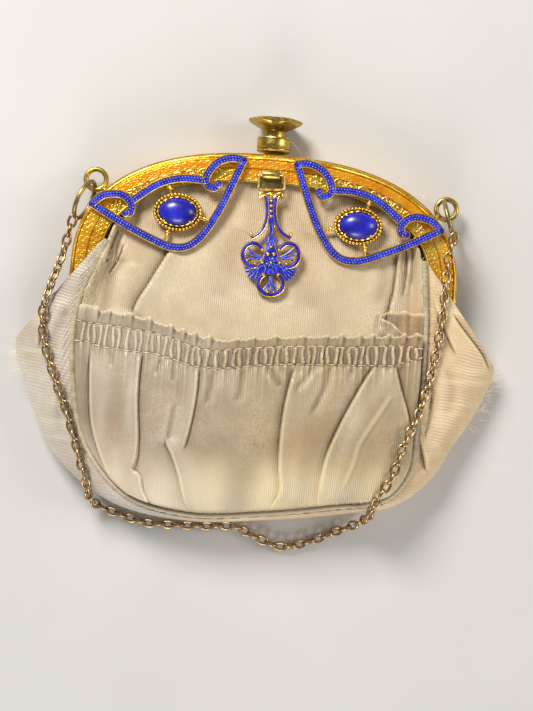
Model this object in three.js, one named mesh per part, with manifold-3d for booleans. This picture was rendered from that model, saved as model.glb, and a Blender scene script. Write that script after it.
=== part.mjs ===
// A small satin evening purse lying on its back. X runs across the purse, Y from its foot to its clasp
// and Z out of its front, in millimetres. It is drawn from the middle of the frame's hinge line.
import * as THREE from 'three';
import { mergeVertices } from 'three/addons/utils/BufferGeometryUtils.js';
import Module from 'manifold-3d';

const wasm = await Module();
wasm.setup();

// Gilt frame: a superelliptic arch of two half shells that part at mid depth
const FRAME_HALF_WIDTH = 63.8;
const FRAME_RISE = 41.4;
const ARCH_POWER = 2.4;
const ARCH_STEPS = 26;
const FRAME_BAND = 9.6;
const FRAME_LEG = 3.5;
const FRAME_BACK_Z = 1.9;
const FRAME_FRONT_Z = 13.3;
const PARTING_Z = 7.75;
const PARTING_GAP = 0.3;
const PLATE = 1.3;
const RIM_WALL = 1.2;
const RIM_WIDTH = 2.1;
const GROOVE_INSET = 6.9;
const GROOVE_WIDTH = 0.7;
const GROOVE_DEPTH = 0.5;

// Rivets of the frame's hinge, along X below the feet of the arch
const EAR_WIDTH = 1.7;
const EAR_GAP = 0.5;
const EAR_HALF_LENGTH = 1.75;
const EAR_HALF_DEPTH = 1.9;
const RIVET_Y = -2.15;
const RIVET_Z = 5.2;
const RIVET_RADIUS = 0.95;
const RIVET_HEAD_RADIUS = 1.9;
const RIVET_CLEARANCE = 0.3;

// Push clasp on top of the frame, turned about Y
const COLLAR_RADIUS = 5.6;
const COLLAR_BASE_Y = 42.6;
const COLLAR_TOP_Y = 47.4;
const COLLAR_FLOOR = 0.8;
const COLLAR_POST = 6;
const PLUNGER_RADIUS = 3.6;
const PLUNGER_CLEARANCE = 0.3;
const KNOB_FLAT = 7.75;

// Chain eyes soldered to the back half, the jump rings through them and the chain
const EYE_TURN = { left: 0.19, right: 0.182 };
const EYE_FOOT = 1.5;
const EYE_RING_RADIUS = 3.4;
const EYE_WIRE_RADIUS = 0.8;
const EYE_Z = 6;
const JUMP_RING_RADIUS = 6.6;
const JUMP_WIRE_RADIUS = 0.75;
const JUMP_RING_SLACK = { left: 1.4, right: -0.2 };
const JUMP_RING_LEAN = 12;
const CHAIN_RADIUS = 1.4;
const CHAIN_SIDES = 8;
const CHAIN_STEPS = 54;

// Satin pouch
const CLOTH = 1.2;
const PIPING_RADIUS = 1;
const PANEL_SEAM_GAP = 1.75;
const GUSSET_SEAM_GAP = 1.4;
const BACK_SEAM_GAP = 0.4;
const POUCH_OFFSET = 0.6;
const PANEL_TOP_Z = 10.2;
const PANEL_CROWN = 8.5;
const SWELL_POWER = 2.4;
const BACK_FLAT_Z = CLOTH / 2;
const BACK_TUCK_Z = 4.3;
const WING_PINCH = 2.7;
const POCKET_LIFT = 2.4;
const POCKET_PUFF = 1.6;
const RUFFLES = 10;
const RUFFLE_DEPTH = 0.75;

// Openwork mounts with their settings and stones, centred on each stone
const MOUNT_X = 29.7;
const MOUNT_Y = 19.9;
const MOUNT_Z = 13.8;
const BAND_SLIDE = { left: -1.1, right: 0 };
const MOUNT_THICKNESS = 1;
const MOUNT_BAND = 2.7;
const ENAMEL_BAND = 1.7;
const ENAMEL_THICKNESS = 0.4;
const ENAMEL_GAP = 0.1;
const POST_RADIUS = 0.65;
const SETTING_HALF_LENGTH = 8.1;
const SETTING_HALF_WIDTH = 6.3;
const SETTING_HEIGHT = 2.1;
const STONE_HALF_LENGTH = 6.2;
const STONE_HALF_WIDTH = 4.5;
const STONE_HEIGHT = 3.9;

// Drop hinged in a rolled strap on the frame
const STRAP_Y = 34.5;
const STRAP_Z = 14.2;
const STRAP_WIDTH = 5.7;
const STRAP_RADIUS = 1.4;
const STRAP_BORE = 0.95;
const BAIL_WIDTH = 9.3;
const BAIL_LENGTH = 5.9;
const BAIL_WIRE = 0.8;
const DROP_THICKNESS = 1.1;
const DROP_TILT = 5;
const DROP_SKEW = 4;

// Seams of the pouch, from the left end of the gusset round the foot to its right end: the front
// seam, the edge of the wing that the gusset spreads to, and the back seam on the ground.
const SEAM_ROWS = [
  { at: 'left hem', front: [-52.6, 9, 15.9], wing: [-81, -25.5, 7], back: [-51.2, 10] },
  { at: 'left leg', front: [-55.6, 1.5, 16.1], wing: [-80.4, -31, 6.6], back: [-55, 0] },
  { at: 'left shoulder', front: [-59.3, -8.5, 16.1], wing: [-77.8, -38.4, 6.5], back: [-58.5, -12] },
  { at: 'left side', front: [-61.2, -20, 16], wing: [-74, -47.6, 6.5], back: [-60, -25] },
  { at: 'left low', front: [-59.9, -38, 16], wing: [-69.4, -57, 6.5], back: [-58, -42] },
  { at: 'left corner', front: [-55.2, -57, 15.4], wing: [-61, -67.2, 6.5], back: [-52.5, -59] },
  { at: 'left foot', front: [-40, -74, 14.6], wing: [-43.5, -77.8, 6.5], back: [-37, -73.5] },
  { at: 'foot left', front: [-19.5, -78.9, 14.3], wing: [-19, -81.3, 6.5], back: [-18.5, -76.5] },
  { at: 'foot', front: [4, -76.9, 14.3], wing: [4.5, -79.3, 6.5], back: [4, -74.5] },
  { at: 'foot right', front: [27.5, -73, 14.3], wing: [28.5, -75.7, 6.5], back: [26, -70.5] },
  { at: 'right foot', front: [45.6, -68.8, 14.6], wing: [49, -70.8, 6.5], back: [43, -66] },
  { at: 'right corner', front: [52.4, -59, 15.2], wing: [60.3, -61, 6.5], back: [50, -56.5] },
  { at: 'right low', front: [53.3, -44, 15.8], wing: [66.2, -50.4, 6.5], back: [52.5, -43] },
  { at: 'right side', front: [54, -28, 16], wing: [71.4, -41.8, 6.5], back: [54, -28] },
  { at: 'right shoulder', front: [53.6, -12, 16.1], wing: [75.4, -33.2, 6.5], back: [54.5, -14] },
  { at: 'right leg', front: [52.5, 1.5, 16.1], wing: [77.4, -27.2, 6.6], back: [53, 0] },
  { at: 'right hem', front: [51.4, 10, 15.9], wing: [78, -22.8, 7], back: [49.8, 10] },
];
const FOOT_FROM = 6 / 16;
const FOOT_TO = 10 / 16;

// Folds in the cloth: the line from top to foot, how deep it sinks and how wide it opens
const PANEL_FOLDS = [
  { from: [-30.5, 8], to: [-42.5, -17], depth: 2.2, width: 3.4 },
  { from: [43.3, 15], to: [42.2, -8], depth: 2, width: 3 },
];
const POCKET_FOLDS = [
  { from: [-54.5, -26], to: [-43, -70], depth: 1.2, width: 3 },
  { from: [-37.4, -26], to: [-37.6, -65], depth: 1.3, width: 2.6 },
  { from: [-20, -25], to: [-26, -54], depth: 1.2, width: 2.6 },
  { from: [-26.5, -51], to: [-19.5, -76], depth: 1, width: 3 },
  { from: [12, -26], to: [9.5, -68], depth: 1.3, width: 2.6 },
  { from: [24, -26], to: [23, -72], depth: 1.2, width: 2.8 },
  { from: [38, -24], to: [27.5, -43], depth: 1.2, width: 2.6 },
];

// Top edge of the pocket as the share of the front panel's length above it
const POCKET_TOP = [
  { across: -1, down: 0.415 },
  { across: -0.9, down: 0.448 },
  { across: -0.65, down: 0.478 },
  { across: -0.48, down: 0.496 },
  { across: -0.3, down: 0.523 },
  { across: -0.195, down: 0.545 },
  { across: -0.05, down: 0.543 },
  { across: 0.06, down: 0.521 },
  { across: 0.27, down: 0.499 },
  { across: 0.44, down: 0.479 },
  { across: 0.6, down: 0.452 },
  { across: 0.68, down: 0.385 },
  { across: 0.83, down: 0.325 },
  { across: 1, down: 0.3 },
];
const POCKET_ROWS = [0, 0.075, 0.185, 0.3, 0.44, 0.58, 0.72, 0.86, 1];
const RUFFLE_FADE = 0.22;

// Bands of the right mount about its stone; the left one is its mirror
const MOUNT_BANDS = {
  under: [[-21.4, 18.5], [-18.3, 10.5], [-14.8, 1.9], [-11.5, -4.4], [-7.9, -9.1], [-4.4, -11.3],
    [-0.7, -11.7], [3.2, -10.9], [14.7, -6], [27.1, 0.5]],
  inner_curl: [[-21.4, 18.5], [-17.6, 19], [-13, 17.2], [-10, 13.3], [-9.7, 10.2], [-12.3, 8.7],
    [-14, 10.5]],
  outer_curl: [[27.1, 0.5], [23.4, 3.6], [17.8, 4.2], [14.4, 1.6], [14.4, -1.4], [16.2, -1.8]],
  brow: [[-9.7, 11], [-1.6, 11], [5.9, 8.6], [14.1, 2.5]],
};
const MOUNT_POSTS = [
  { from: [2.2, 5.2], to: [3.7, 9.4] },
  { from: [-6.6, -1.3], to: [-12.6, -2.6] },
  { from: [2, -5], to: [3.2, -10.9] },
];

// Lobes of the drop below its bail, with the gaps pierced in them
const DROP_LOBES = [
  { centre: [0, -28], radius: 5.2 },
  { centre: [-5.85, -27.2], radius: 4.1 },
  { centre: [5.85, -27.2], radius: 4.1 },
  { centre: [-4.4, -32.2], radius: 2.6 },
  { centre: [4.4, -32.2], radius: 2.6 },
  { centre: [0, -35.4], radius: 4.3 },
];
const DROP_STEM = [[3.6, -5], [2.9, -6.4], [2.1, -7.4], [1.9, -13], [1.6, -17], [2, -21], [4.2, -25]];
const DROP_VOLUTE = [[1.5, -12], [2.2, -15.5], [4.2, -18.6], [6.6, -19.6]];
const VOLUTE_WIDTH = 1.2;
const DROP_GAPS = [[6.9, -25.3], [6.9, -29.1], [2.1, -36.6], [4.1, -30.4]];
const GAP_RADIUS = 0.85;

// Carrying chain, from the left jump ring over the left wing, along the ground below the foot and
// back over the right side of the pouch to the right jump ring
const CHAIN_POINTS = [
  [-64.7, 14.6, 9.4], [-65.9, 9.2, 8.9], [-66.9, 3.8, 9.3], [-69.5, -6.9, 13.6], [-70.9, -13.7, 16.1],
  [-70.9, -20.3, 16], [-69.1, -28, 16.4], [-64.8, -38.8, 17.1], [-61.3, -46.4, 17.1], [-58, -55, 16.8],
  [-54.3, -65.9, 16.2], [-52.8, -71.2, 14.2], [-51.8, -76.5, 8], [-49, -79.4, 3.2], [-42.3, -81.7, 1.6],
  [-33, -83.9, 1.5], [-24.9, -83.9, 1.5], [-13.4, -83.5, 1.5], [-3, -83, 1.5], [2.9, -85.4, 1.5],
  [12.3, -88.4, 1.5], [21.2, -86.4, 1.5], [30, -82.4, 1.6], [35.8, -79.6, 3.4], [39.3, -76.9, 8.4],
  [41.5, -73.3, 16.6], [42.7, -68.8, 19.6], [46.4, -61.2, 21.7], [50, -49.5, 21.9], [53.6, -40.5, 20.2],
  [56.8, -28.3, 17.9], [58.8, -14.7, 17.4], [59.5, -3.5, 17.2], [59.6, 4.4, 16.6], [60.1, 12.9, 16.8],
  [61, 17.9, 17.2],
];

// Closed solids
const { lerp, clamp, degToRad } = THREE.MathUtils;

function smooth(from, to, value) {
  return THREE.MathUtils.smoothstep(value, from, to);
}

function facingOut(geometry) {
  const corners = geometry.index.array;
  const at = (i) => new THREE.Vector3().fromBufferAttribute(geometry.attributes.position, corners[i]);
  let volume = 0;
  for (let i = 0; i < corners.length; i += 3) {
    volume += at(i).dot(at(i + 1).cross(at(i + 2)));
  }
  if (volume < 0) {
    corners.reverse();
  }
  return geometry;
}

function closedMesh(points, faces) {
  const geometry = new THREE.BufferGeometry().setFromPoints(points);
  geometry.setIndex(faces.flat());
  return facingOut(geometry);
}

function toSolid(geometry) {
  const bare = geometry.clone();
  bare.deleteAttribute('normal');
  bare.deleteAttribute('uv');
  const merged = facingOut(mergeVertices(bare));
  return new wasm.Manifold(new wasm.Mesh({
    numProp: 3,
    vertProperties: new Float32Array(merged.attributes.position.array),
    triVerts: new Uint32Array(merged.index.array),
  }));
}

function toGeometry(solid) {
  const mesh = solid.getMesh();
  const geometry = new THREE.BufferGeometry();
  geometry.setAttribute('position', new THREE.BufferAttribute(mesh.vertProperties, 3));
  geometry.setIndex(new THREE.BufferAttribute(mesh.triVerts, 1));
  return geometry;
}

// The joined body of some geometries, less the cutters
function fused(geometries, cutters = []) {
  const body = geometries.map(toSolid).reduce((whole, next) => whole.add(next));
  return toGeometry(cutters.map(toSolid).reduce((whole, next) => whole.subtract(next), body));
}

function turned(profile, sides) {
  return new THREE.LatheGeometry(profile.map(([radius, y]) => new THREE.Vector2(radius, y)), sides);
}

function plate(shape, thickness, sides = 8) {
  return new THREE.ExtrudeGeometry(shape, { depth: thickness, bevelEnabled: false, curveSegments: sides });
}

function disc([x, y], radius) {
  return new THREE.Shape().absarc(x, y, radius, 0, 2 * Math.PI);
}

function tube(path, radius, sides, steps) {
  const corner = (i) => (2 * Math.PI * i) / sides;
  const ring = Array.from({ length: sides }, (_, i) => new THREE.Vector2(
    radius * Math.cos(corner(i)),
    radius * Math.sin(corner(i)),
  ));
  const options = { steps, extrudePath: path, bevelEnabled: false };
  return fused([new THREE.ExtrudeGeometry(new THREE.Shape(ring), options)]);
}

function box([x0, x1], [y0, y1], [z0, z1]) {
  const geometry = new THREE.BoxGeometry(x1 - x0, y1 - y0, z1 - z0);
  return geometry.translate((x0 + x1) / 2, (y0 + y1) / 2, (z0 + z1) / 2);
}

// A cylinder along X
function rod(radius, [x0, x1], y, z, sides = 12) {
  const geometry = new THREE.CylinderGeometry(radius, radius, x1 - x0, sides);
  return geometry.rotateZ(Math.PI / 2).translate((x0 + x1) / 2, y, z);
}

// Sections of one outline joined in a row, with both ends closed
function loft(sections, outline) {
  const count = outline.length;
  const last = (sections.length - 1) * count;
  const faces = [];
  for (let i = 0; i + 1 < sections.length; i += 1) {
    for (let j = 0; j < count; j += 1) {
      const a = i * count + j;
      const b = i * count + ((j + 1) % count);
      faces.push([a, b, b + count], [a, b + count, a + count]);
    }
  }
  for (const [a, b, c] of THREE.ShapeUtils.triangulateShape(outline, [])) {
    faces.push([c, b, a], [last + a, last + b, last + c]);
  }
  return closedMesh(sections.flat(), faces);
}

// A wall of cloth about a curved sheet, closed round its edges
function clothWall(sheet, columns, rows) {
  const place = columns.map((u) => rows.map((v) => sheet(u, v)));
  const near = (list, i) => list[clamp(i, 0, list.length - 1)];
  const front = [];
  const back = [];
  columns.forEach((_, i) => rows.forEach((__, j) => {
    const across = near(place, i + 1)[j].clone().sub(near(place, i - 1)[j]);
    const down = near(place[i], j + 1).clone().sub(near(place[i], j - 1));
    const off = across.cross(down).setLength(CLOTH / 2);
    front.push(place[i][j].clone().add(off));
    back.push(place[i][j].clone().sub(off));
  }));
  const count = front.length;
  const at = (i, j) => i * rows.length + j;
  const faces = [];
  const edge = (a, b) => faces.push([b, a, a + count], [b, a + count, b + count]);
  for (let i = 0; i + 1 < columns.length; i += 1) {
    for (let j = 0; j + 1 < rows.length; j += 1) {
      const [a, b, c, d] = [at(i, j), at(i + 1, j), at(i + 1, j + 1), at(i, j + 1)];
      faces.push([a, b, c], [a, c, d], [c + count, b + count, a + count], [d + count, c + count, a + count]);
    }
    edge(at(i, 0), at(i + 1, 0));
    edge(at(i + 1, rows.length - 1), at(i, rows.length - 1));
  }
  for (let j = 0; j + 1 < rows.length; j += 1) {
    edge(at(columns.length - 1, j), at(columns.length - 1, j + 1));
    edge(at(0, j + 1), at(0, j));
  }
  return closedMesh([...front, ...back], faces);
}

function steps(from, to, count) {
  return Array.from({ length: count + 1 }, (_, i) => lerp(from, to, i / count));
}

// Frame
function archStation(turn) {
  const share = (value) => Math.sign(value) * Math.abs(value) ** (2 / ARCH_POWER);
  const wide = share(Math.cos(Math.PI * turn));
  const high = share(Math.sin(Math.PI * turn));
  const slope = (value) => Math.sign(value) * Math.abs(value) ** (ARCH_POWER - 1);
  const out = new THREE.Vector2(slope(wide) / FRAME_HALF_WIDTH, slope(high) / FRAME_RISE).normalize();
  return { point: new THREE.Vector2(FRAME_HALF_WIDTH * wide, FRAME_RISE * high), out };
}

function archInset(turn, inset) {
  const { point, out } = archStation(turn);
  return point.addScaledVector(out, -inset);
}

function archBand(profile, leg) {
  const arch = steps(0, 1, ARCH_STEPS).map(archStation);
  const foot = ({ point, out }) => ({ point: new THREE.Vector2(point.x, -leg), out });
  const stations = leg > 0 ? [foot(arch[0]), ...arch, foot(arch.at(-1))] : arch;
  const outline = profile.map(([inset, z]) => new THREE.Vector2(inset, z));
  const sections = stations.map(({ point, out }) => outline.map((corner) => new THREE.Vector3(
    point.x - out.x * corner.x,
    point.y - out.y * corner.x,
    corner.y,
  )));
  return loft(sections, outline);
}

const BAND_Z = FRAME_FRONT_Z - 0.2;
const FRONT_PROFILE = [
  [0, PARTING_Z + PARTING_GAP / 2],
  [RIM_WALL, PARTING_Z + PARTING_GAP / 2],
  [RIM_WALL, FRAME_FRONT_Z - PLATE],
  [FRAME_BAND, FRAME_FRONT_Z - PLATE],
  [FRAME_BAND, BAND_Z - 0.4],
  [FRAME_BAND - 0.5, BAND_Z],
  [GROOVE_INSET + GROOVE_WIDTH, BAND_Z],
  [GROOVE_INSET + GROOVE_WIDTH / 2, BAND_Z - GROOVE_DEPTH],
  [GROOVE_INSET, BAND_Z],
  [RIM_WIDTH + 0.5, BAND_Z],
  [RIM_WIDTH, BAND_Z - GROOVE_DEPTH],
  [RIM_WIDTH - 0.6, FRAME_FRONT_Z],
  [0.6, FRAME_FRONT_Z],
  [0, FRAME_FRONT_Z - 0.7],
];
const BACK_PROFILE = [
  [0, FRAME_BACK_Z + 0.6],
  [0.6, FRAME_BACK_Z],
  [FRAME_BAND - 0.4, FRAME_BACK_Z],
  [FRAME_BAND, FRAME_BACK_Z + 0.4],
  [FRAME_BAND, FRAME_BACK_Z + PLATE],
  [RIM_WALL, FRAME_BACK_Z + PLATE],
  [RIM_WALL, PARTING_Z - PARTING_GAP / 2],
  [0, PARTING_Z - PARTING_GAP / 2],
];

const BACK_EAR_OUT = FRAME_HALF_WIDTH - RIM_WALL - EAR_GAP;
const BACK_EAR_IN = BACK_EAR_OUT - EAR_WIDTH;
const EAR_Y = [RIVET_Y - EAR_HALF_LENGTH, RIVET_Y + EAR_HALF_LENGTH];
const SIDES = { left: -1, right: 1 };

function sideSpan(side, near, far) {
  return side > 0 ? [near, far] : [-far, -near];
}

function rivetHoles() {
  const span = [BACK_EAR_IN - 1, FRAME_HALF_WIDTH + 1];
  return Object.values(SIDES).map((side) => (
    rod(RIVET_RADIUS + RIVET_CLEARANCE, sideSpan(side, ...span), RIVET_Y, RIVET_Z)
  ));
}

function frameFront() {
  const ears = Object.values(SIDES).map((side) => box(
    sideSpan(side, FRAME_HALF_WIDTH - RIM_WALL, FRAME_HALF_WIDTH),
    EAR_Y,
    [RIVET_Z - EAR_HALF_DEPTH, PARTING_Z + 1],
  ));
  const half = STRAP_WIDTH / 2;
  const strap = rod(STRAP_RADIUS, [-half, half], STRAP_Y, STRAP_Z);
  const bore = rod(STRAP_BORE, [-half - 1, half + 1], STRAP_Y, STRAP_Z);
  return fused([archBand(FRONT_PROFILE, FRAME_LEG), ...ears, strap], [...rivetHoles(), bore]);
}

function chainEyeCentre(name) {
  const side = SIDES[name];
  const { point, out } = archStation(EYE_TURN[name]);
  point.addScaledVector(out, EYE_FOOT + EYE_RING_RADIUS + EYE_WIRE_RADIUS / 2);
  return new THREE.Vector3(side * point.x, point.y, EYE_Z);
}

// Foot between the arch and a chain eye, sunk half its radius into both
function chainEyeFoot(name) {
  const side = SIDES[name];
  const { point, out } = archStation(EYE_TURN[name]);
  const foot = new THREE.CylinderGeometry(EYE_WIRE_RADIUS, EYE_WIRE_RADIUS, EYE_FOOT + EYE_WIRE_RADIUS, 6);
  point.addScaledVector(out, EYE_FOOT / 2);
  return foot.rotateZ(-side * Math.atan2(out.x, out.y)).translate(side * point.x, point.y, EYE_Z);
}

function frameBack() {
  const ears = Object.values(SIDES).map((side) => box(
    sideSpan(side, BACK_EAR_IN, BACK_EAR_OUT),
    [EAR_Y[0], 1.5],
    [FRAME_BACK_Z + PLATE / 2, RIVET_Z + EAR_HALF_DEPTH],
  ));
  const eyes = Object.keys(SIDES).map((name) => (
    new THREE.TorusGeometry(EYE_RING_RADIUS, EYE_WIRE_RADIUS, 6, 14)
      .translate(...chainEyeCentre(name).toArray())
  ));
  const eyeFeet = Object.keys(SIDES).map(chainEyeFoot);
  const bore = PLUNGER_RADIUS + PLUNGER_CLEARANCE;
  const collar = turned([
    [0, COLLAR_BASE_Y],
    [COLLAR_RADIUS, COLLAR_BASE_Y],
    [COLLAR_RADIUS, COLLAR_TOP_Y],
    [bore, COLLAR_TOP_Y],
    [bore, COLLAR_BASE_Y + COLLAR_FLOOR],
    [0, COLLAR_BASE_Y + COLLAR_FLOOR],
  ], 18).translate(0, 0, PARTING_Z);
  const post = box(
    [-COLLAR_POST / 2, COLLAR_POST / 2],
    [FRAME_RISE - RIM_WALL, COLLAR_BASE_Y + COLLAR_FLOOR / 2],
    [FRAME_BACK_Z + PLATE / 2, PARTING_Z - PARTING_GAP],
  );
  return fused([archBand(BACK_PROFILE, 0), ...ears, ...eyes, ...eyeFeet, collar, post], rivetHoles());
}

function hingeRivet(side) {
  const start = BACK_EAR_IN - RIVET_CLEARANCE - 0.8;
  const end = FRAME_HALF_WIDTH + RIVET_CLEARANCE + 0.8;
  const shank = turned([
    [0, start],
    [RIVET_HEAD_RADIUS, start],
    [RIVET_HEAD_RADIUS, start + 0.8],
    [RIVET_RADIUS, start + 0.8],
    [RIVET_RADIUS, end - 0.8],
    [RIVET_HEAD_RADIUS, end - 0.8],
    [RIVET_HEAD_RADIUS, end],
    [0, end],
  ], 10);
  return fused([shank.rotateZ(-side * Math.PI / 2).translate(0, RIVET_Y, RIVET_Z)]);
}

function claspKnob() {
  const dish = turned([
    [0, 45.9],
    [PLUNGER_RADIUS, 45.9],
    [PLUNGER_RADIUS, 49.6],
    [4.3, 50.1],
    [6.6, 51.3],
    [8.6, 52.3],
    [9.2, 52.9],
    [9.2, 53.3],
    [8.2, 53.5],
    [6.6, 53.1],
    [0, 52.9],
  ], 18);
  const corner = KNOB_FLAT / Math.cos(Math.PI / 6);
  const sixFlats = new THREE.CylinderGeometry(corner, corner, 20, 6).rotateY(Math.PI / 6).translate(0, 50, 0);
  const knob = toSolid(dish).intersect(toSolid(sixFlats));
  return toGeometry(knob).translate(0, 0, PARTING_Z);
}

// Chain and its rings
const CHAIN_PATH = new THREE.CatmullRomCurve3(CHAIN_POINTS.map((point) => new THREE.Vector3(...point)));

function jumpRing(name) {
  const side = SIDES[name];
  const eye = chainEyeCentre(name);
  const end = CHAIN_PATH.getPoint(side < 0 ? 0 : 1);
  const run = end.clone().sub(eye).normalize();
  const up = new THREE.Vector3(0, 0, 1).projectOnPlane(run).normalize();
  up.applyAxisAngle(run, degToRad(JUMP_RING_LEAN));
  const place = new THREE.Matrix4().makeBasis(run, up, run.clone().cross(up));
  const slack = run.clone().setZ(0).setLength(JUMP_RING_SLACK[name]);
  const centre = eye.clone().add(slack).addScaledVector(run, JUMP_RING_RADIUS);
  const ring = new THREE.TorusGeometry(JUMP_RING_RADIUS, JUMP_WIRE_RADIUS, 6, 16);
  return fused([ring.applyMatrix4(place.setPosition(centre))]);
}

// Pouch
function seamCurve(key) {
  const place = ([x, y, z = BACK_FLAT_Z]) => new THREE.Vector3(x + POUCH_OFFSET, y, z);
  return new THREE.CatmullRomCurve3(SEAM_ROWS.map((row) => place(row[key])));
}

const FRONT_SEAM = seamCurve('front');
const WING_EDGE = seamCurve('wing');
const BACK_SEAM = seamCurve('back');

// A point beside a seam, to the inner side of the panel where the gap is positive
function besideSeam(seam, along, gap) {
  const run = seam.getTangent(along).setZ(0).normalize();
  return seam.getPoint(along).add(new THREE.Vector3(-run.y, run.x, 0).multiplyScalar(gap));
}

// Top edge of a panel, tucked behind the frame's plate and drawn out round its feet to the seams
const MOUTH_TURN = 0.89;
const TUCKED_INSET = FRAME_BAND - 2;
const FREE_INSET = FRAME_BAND + 1.1;

function mouthEdge(share, tuckZ, corners) {
  const side = Math.abs(2 * share - 1);
  const inset = lerp(TUCKED_INSET, FREE_INSET, smooth(0.68, 0.8, side));
  const flat = archInset(lerp(MOUTH_TURN, 1 - MOUTH_TURN, share), inset);
  const corner = corners[share < 0.5 ? 0 : 1];
  const point = new THREE.Vector3(flat.x, flat.y, lerp(tuckZ, corner.z, smooth(0.85, 0.97, side)));
  return point.lerp(corner, smooth(0.92, 1, side));
}

// A panel spanned between its mouth edge, its two side seams and its foot
function panelPoint(seam, gap, tuckZ, across, down) {
  const share = (across + 1) / 2;
  const side = (along) => besideSeam(seam, along, gap);
  const left = side(FOOT_FROM * down);
  const right = side(1 - (1 - FOOT_TO) * down);
  const foot = side(lerp(FOOT_FROM, FOOT_TO, share));
  const corners = [side(0), side(1)];
  const mouth = mouthEdge(share, tuckZ, corners);
  const feet = side(FOOT_FROM).lerp(side(FOOT_TO), share);
  const heads = corners[0].clone().lerp(corners[1], share);
  return left.lerp(right, share).add(mouth.lerp(foot, down)).sub(heads.lerp(feet, down));
}

function foldDepth(folds, x, y) {
  const place = new THREE.Vector2(x - POUCH_OFFSET, y);
  return folds.reduce((sum, { from, to, depth, width }) => {
    const start = new THREE.Vector2(...from);
    const line = new THREE.Vector2(...to).sub(start);
    const share = clamp(place.clone().sub(start).dot(line) / line.lengthSq(), 0, 1);
    const off = place.distanceTo(start.addScaledVector(line, share));
    return sum + depth * Math.exp(-((off / width) ** 2));
  }, 0);
}

function frontSheet(across, down) {
  const point = panelPoint(FRONT_SEAM, PANEL_SEAM_GAP, PANEL_TOP_Z, across, down);
  const swell = (1 - Math.abs(across) ** 2.4) * Math.sin(Math.PI * down ** SWELL_POWER);
  point.z += PANEL_CROWN * swell - foldDepth(PANEL_FOLDS, point.x, point.y);
  return point;
}

function backSheet(across, down) {
  const point = panelPoint(BACK_SEAM, BACK_SEAM_GAP, BACK_TUCK_Z, across, down);
  const mouth = panelPoint(BACK_SEAM, BACK_SEAM_GAP, BACK_TUCK_Z, across, 0);
  point.z = lerp(mouth.z, BACK_FLAT_Z, smooth(0.02, 0.28, down));
  return point;
}

function pocketTop(across) {
  const next = Math.max(1, POCKET_TOP.findIndex((row) => row.across >= across));
  const [a, b] = [POCKET_TOP[next - 1], POCKET_TOP[next]];
  return lerp(a.down, b.down, (across - a.across) / (b.across - a.across));
}

function pocketSheet(across, down) {
  const point = frontSheet(across * 0.985, lerp(pocketTop(across), 0.985, down));
  const puff = Math.sin(Math.PI * down) * (1 - across ** 4);
  const fold = Math.min(foldDepth(POCKET_FOLDS, point.x, point.y), POCKET_PUFF);
  const ruffle = (1 + Math.sin(Math.PI * RUFFLES * (across + 1))) * (1 - smooth(0, RUFFLE_FADE, down));
  point.z += POCKET_LIFT + puff * (POCKET_PUFF - fold) + RUFFLE_DEPTH * ruffle;
  return point;
}

// The gusset runs round the seams and, across itself, from the front seam out to the wing and back
function gussetSheet(along, around) {
  const front = besideSeam(FRONT_SEAM, along, -GUSSET_SEAM_GAP);
  front.z -= GUSSET_SEAM_GAP;
  const back = besideSeam(BACK_SEAM, along, -BACK_SEAM_GAP);
  const wing = WING_EDGE.getPoint(along);
  const reach = Math.sin((1 - Math.abs(2 * around - 1)) * Math.PI / 2);
  const flat = smooth(4, 22, Math.hypot(front.x - wing.x, front.y - wing.y));
  const drop = (1 - reach ** lerp(2, 4, flat)) ** lerp(0.5, 0.9, flat);
  const frontZ = lerp(wing.z, front.z, drop);
  const groundZ = lerp(wing.z, BACK_FLAT_Z, Math.sqrt(1 - reach ** 2.2));
  const hem = 1 - smooth(0, 0.12, Math.min(along, 1 - along));
  const pinchedZ = frontZ - WING_PINCH * Math.sqrt(1 - reach ** 6);
  const backZ = lerp(groundZ, pinchedZ, hem * smooth(0.58, 0.78, reach));
  const start = around < 0.5 ? front : back;
  return new THREE.Vector3(
    lerp(start.x, wing.x, reach),
    lerp(start.y, wing.y, reach),
    around < 0.5 ? frontZ : backZ,
  );
}

// Mounts, settings and stones
function bandShape(points, width, side) {
  const line = new THREE.SplineCurve(points.map(([x, y]) => new THREE.Vector2(side * x, y)));
  const shares = steps(0, 1, Math.ceil(1.6 * points.length));
  const edge = (share, sign) => {
    const run = line.getTangent(share);
    return line.getPoint(share).add(new THREE.Vector2(-run.y, run.x).multiplyScalar(sign * width / 2));
  };
  const leftEdge = shares.map((share) => edge(share, 1));
  const rightEdge = shares.map((share) => edge(share, -1)).reverse();
  return new THREE.Shape([...leftEdge, ...rightEdge]);
}

function mountBands(width, thickness, name) {
  return Object.values(MOUNT_BANDS).map((points) => (
    plate(bandShape(points, width, SIDES[name]), thickness).translate(BAND_SLIDE[name], 0, 0)
  ));
}

function oval(profile, halfLength, halfWidth, sides) {
  return turned(profile, sides).rotateX(Math.PI / 2).scale(halfLength, halfWidth, 1);
}

function mountPost({ from, to }, side) {
  const start = new THREE.Vector3(side * from[0], from[1], 0);
  const end = new THREE.Vector3(side * to[0], to[1], 0);
  const run = end.clone().sub(start);
  const post = new THREE.CylinderGeometry(POST_RADIUS, POST_RADIUS, run.length(), 6);
  post.applyQuaternion(new THREE.Quaternion().setFromUnitVectors(
    new THREE.Vector3(0, 1, 0),
    run.clone().normalize(),
  ));
  return post.translate(...start.lerp(end, 0.5).setZ(MOUNT_THICKNESS - POST_RADIUS).toArray());
}

function claw(turn) {
  const x = SETTING_HALF_LENGTH * 0.88 * Math.cos(turn);
  const y = SETTING_HALF_WIDTH * 0.88 * Math.sin(turn);
  return box([x - 0.5, x + 0.5], [y - 0.5, y + 0.5], [SETTING_HEIGHT - 1, SETTING_HEIGHT + 0.4]);
}

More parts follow.
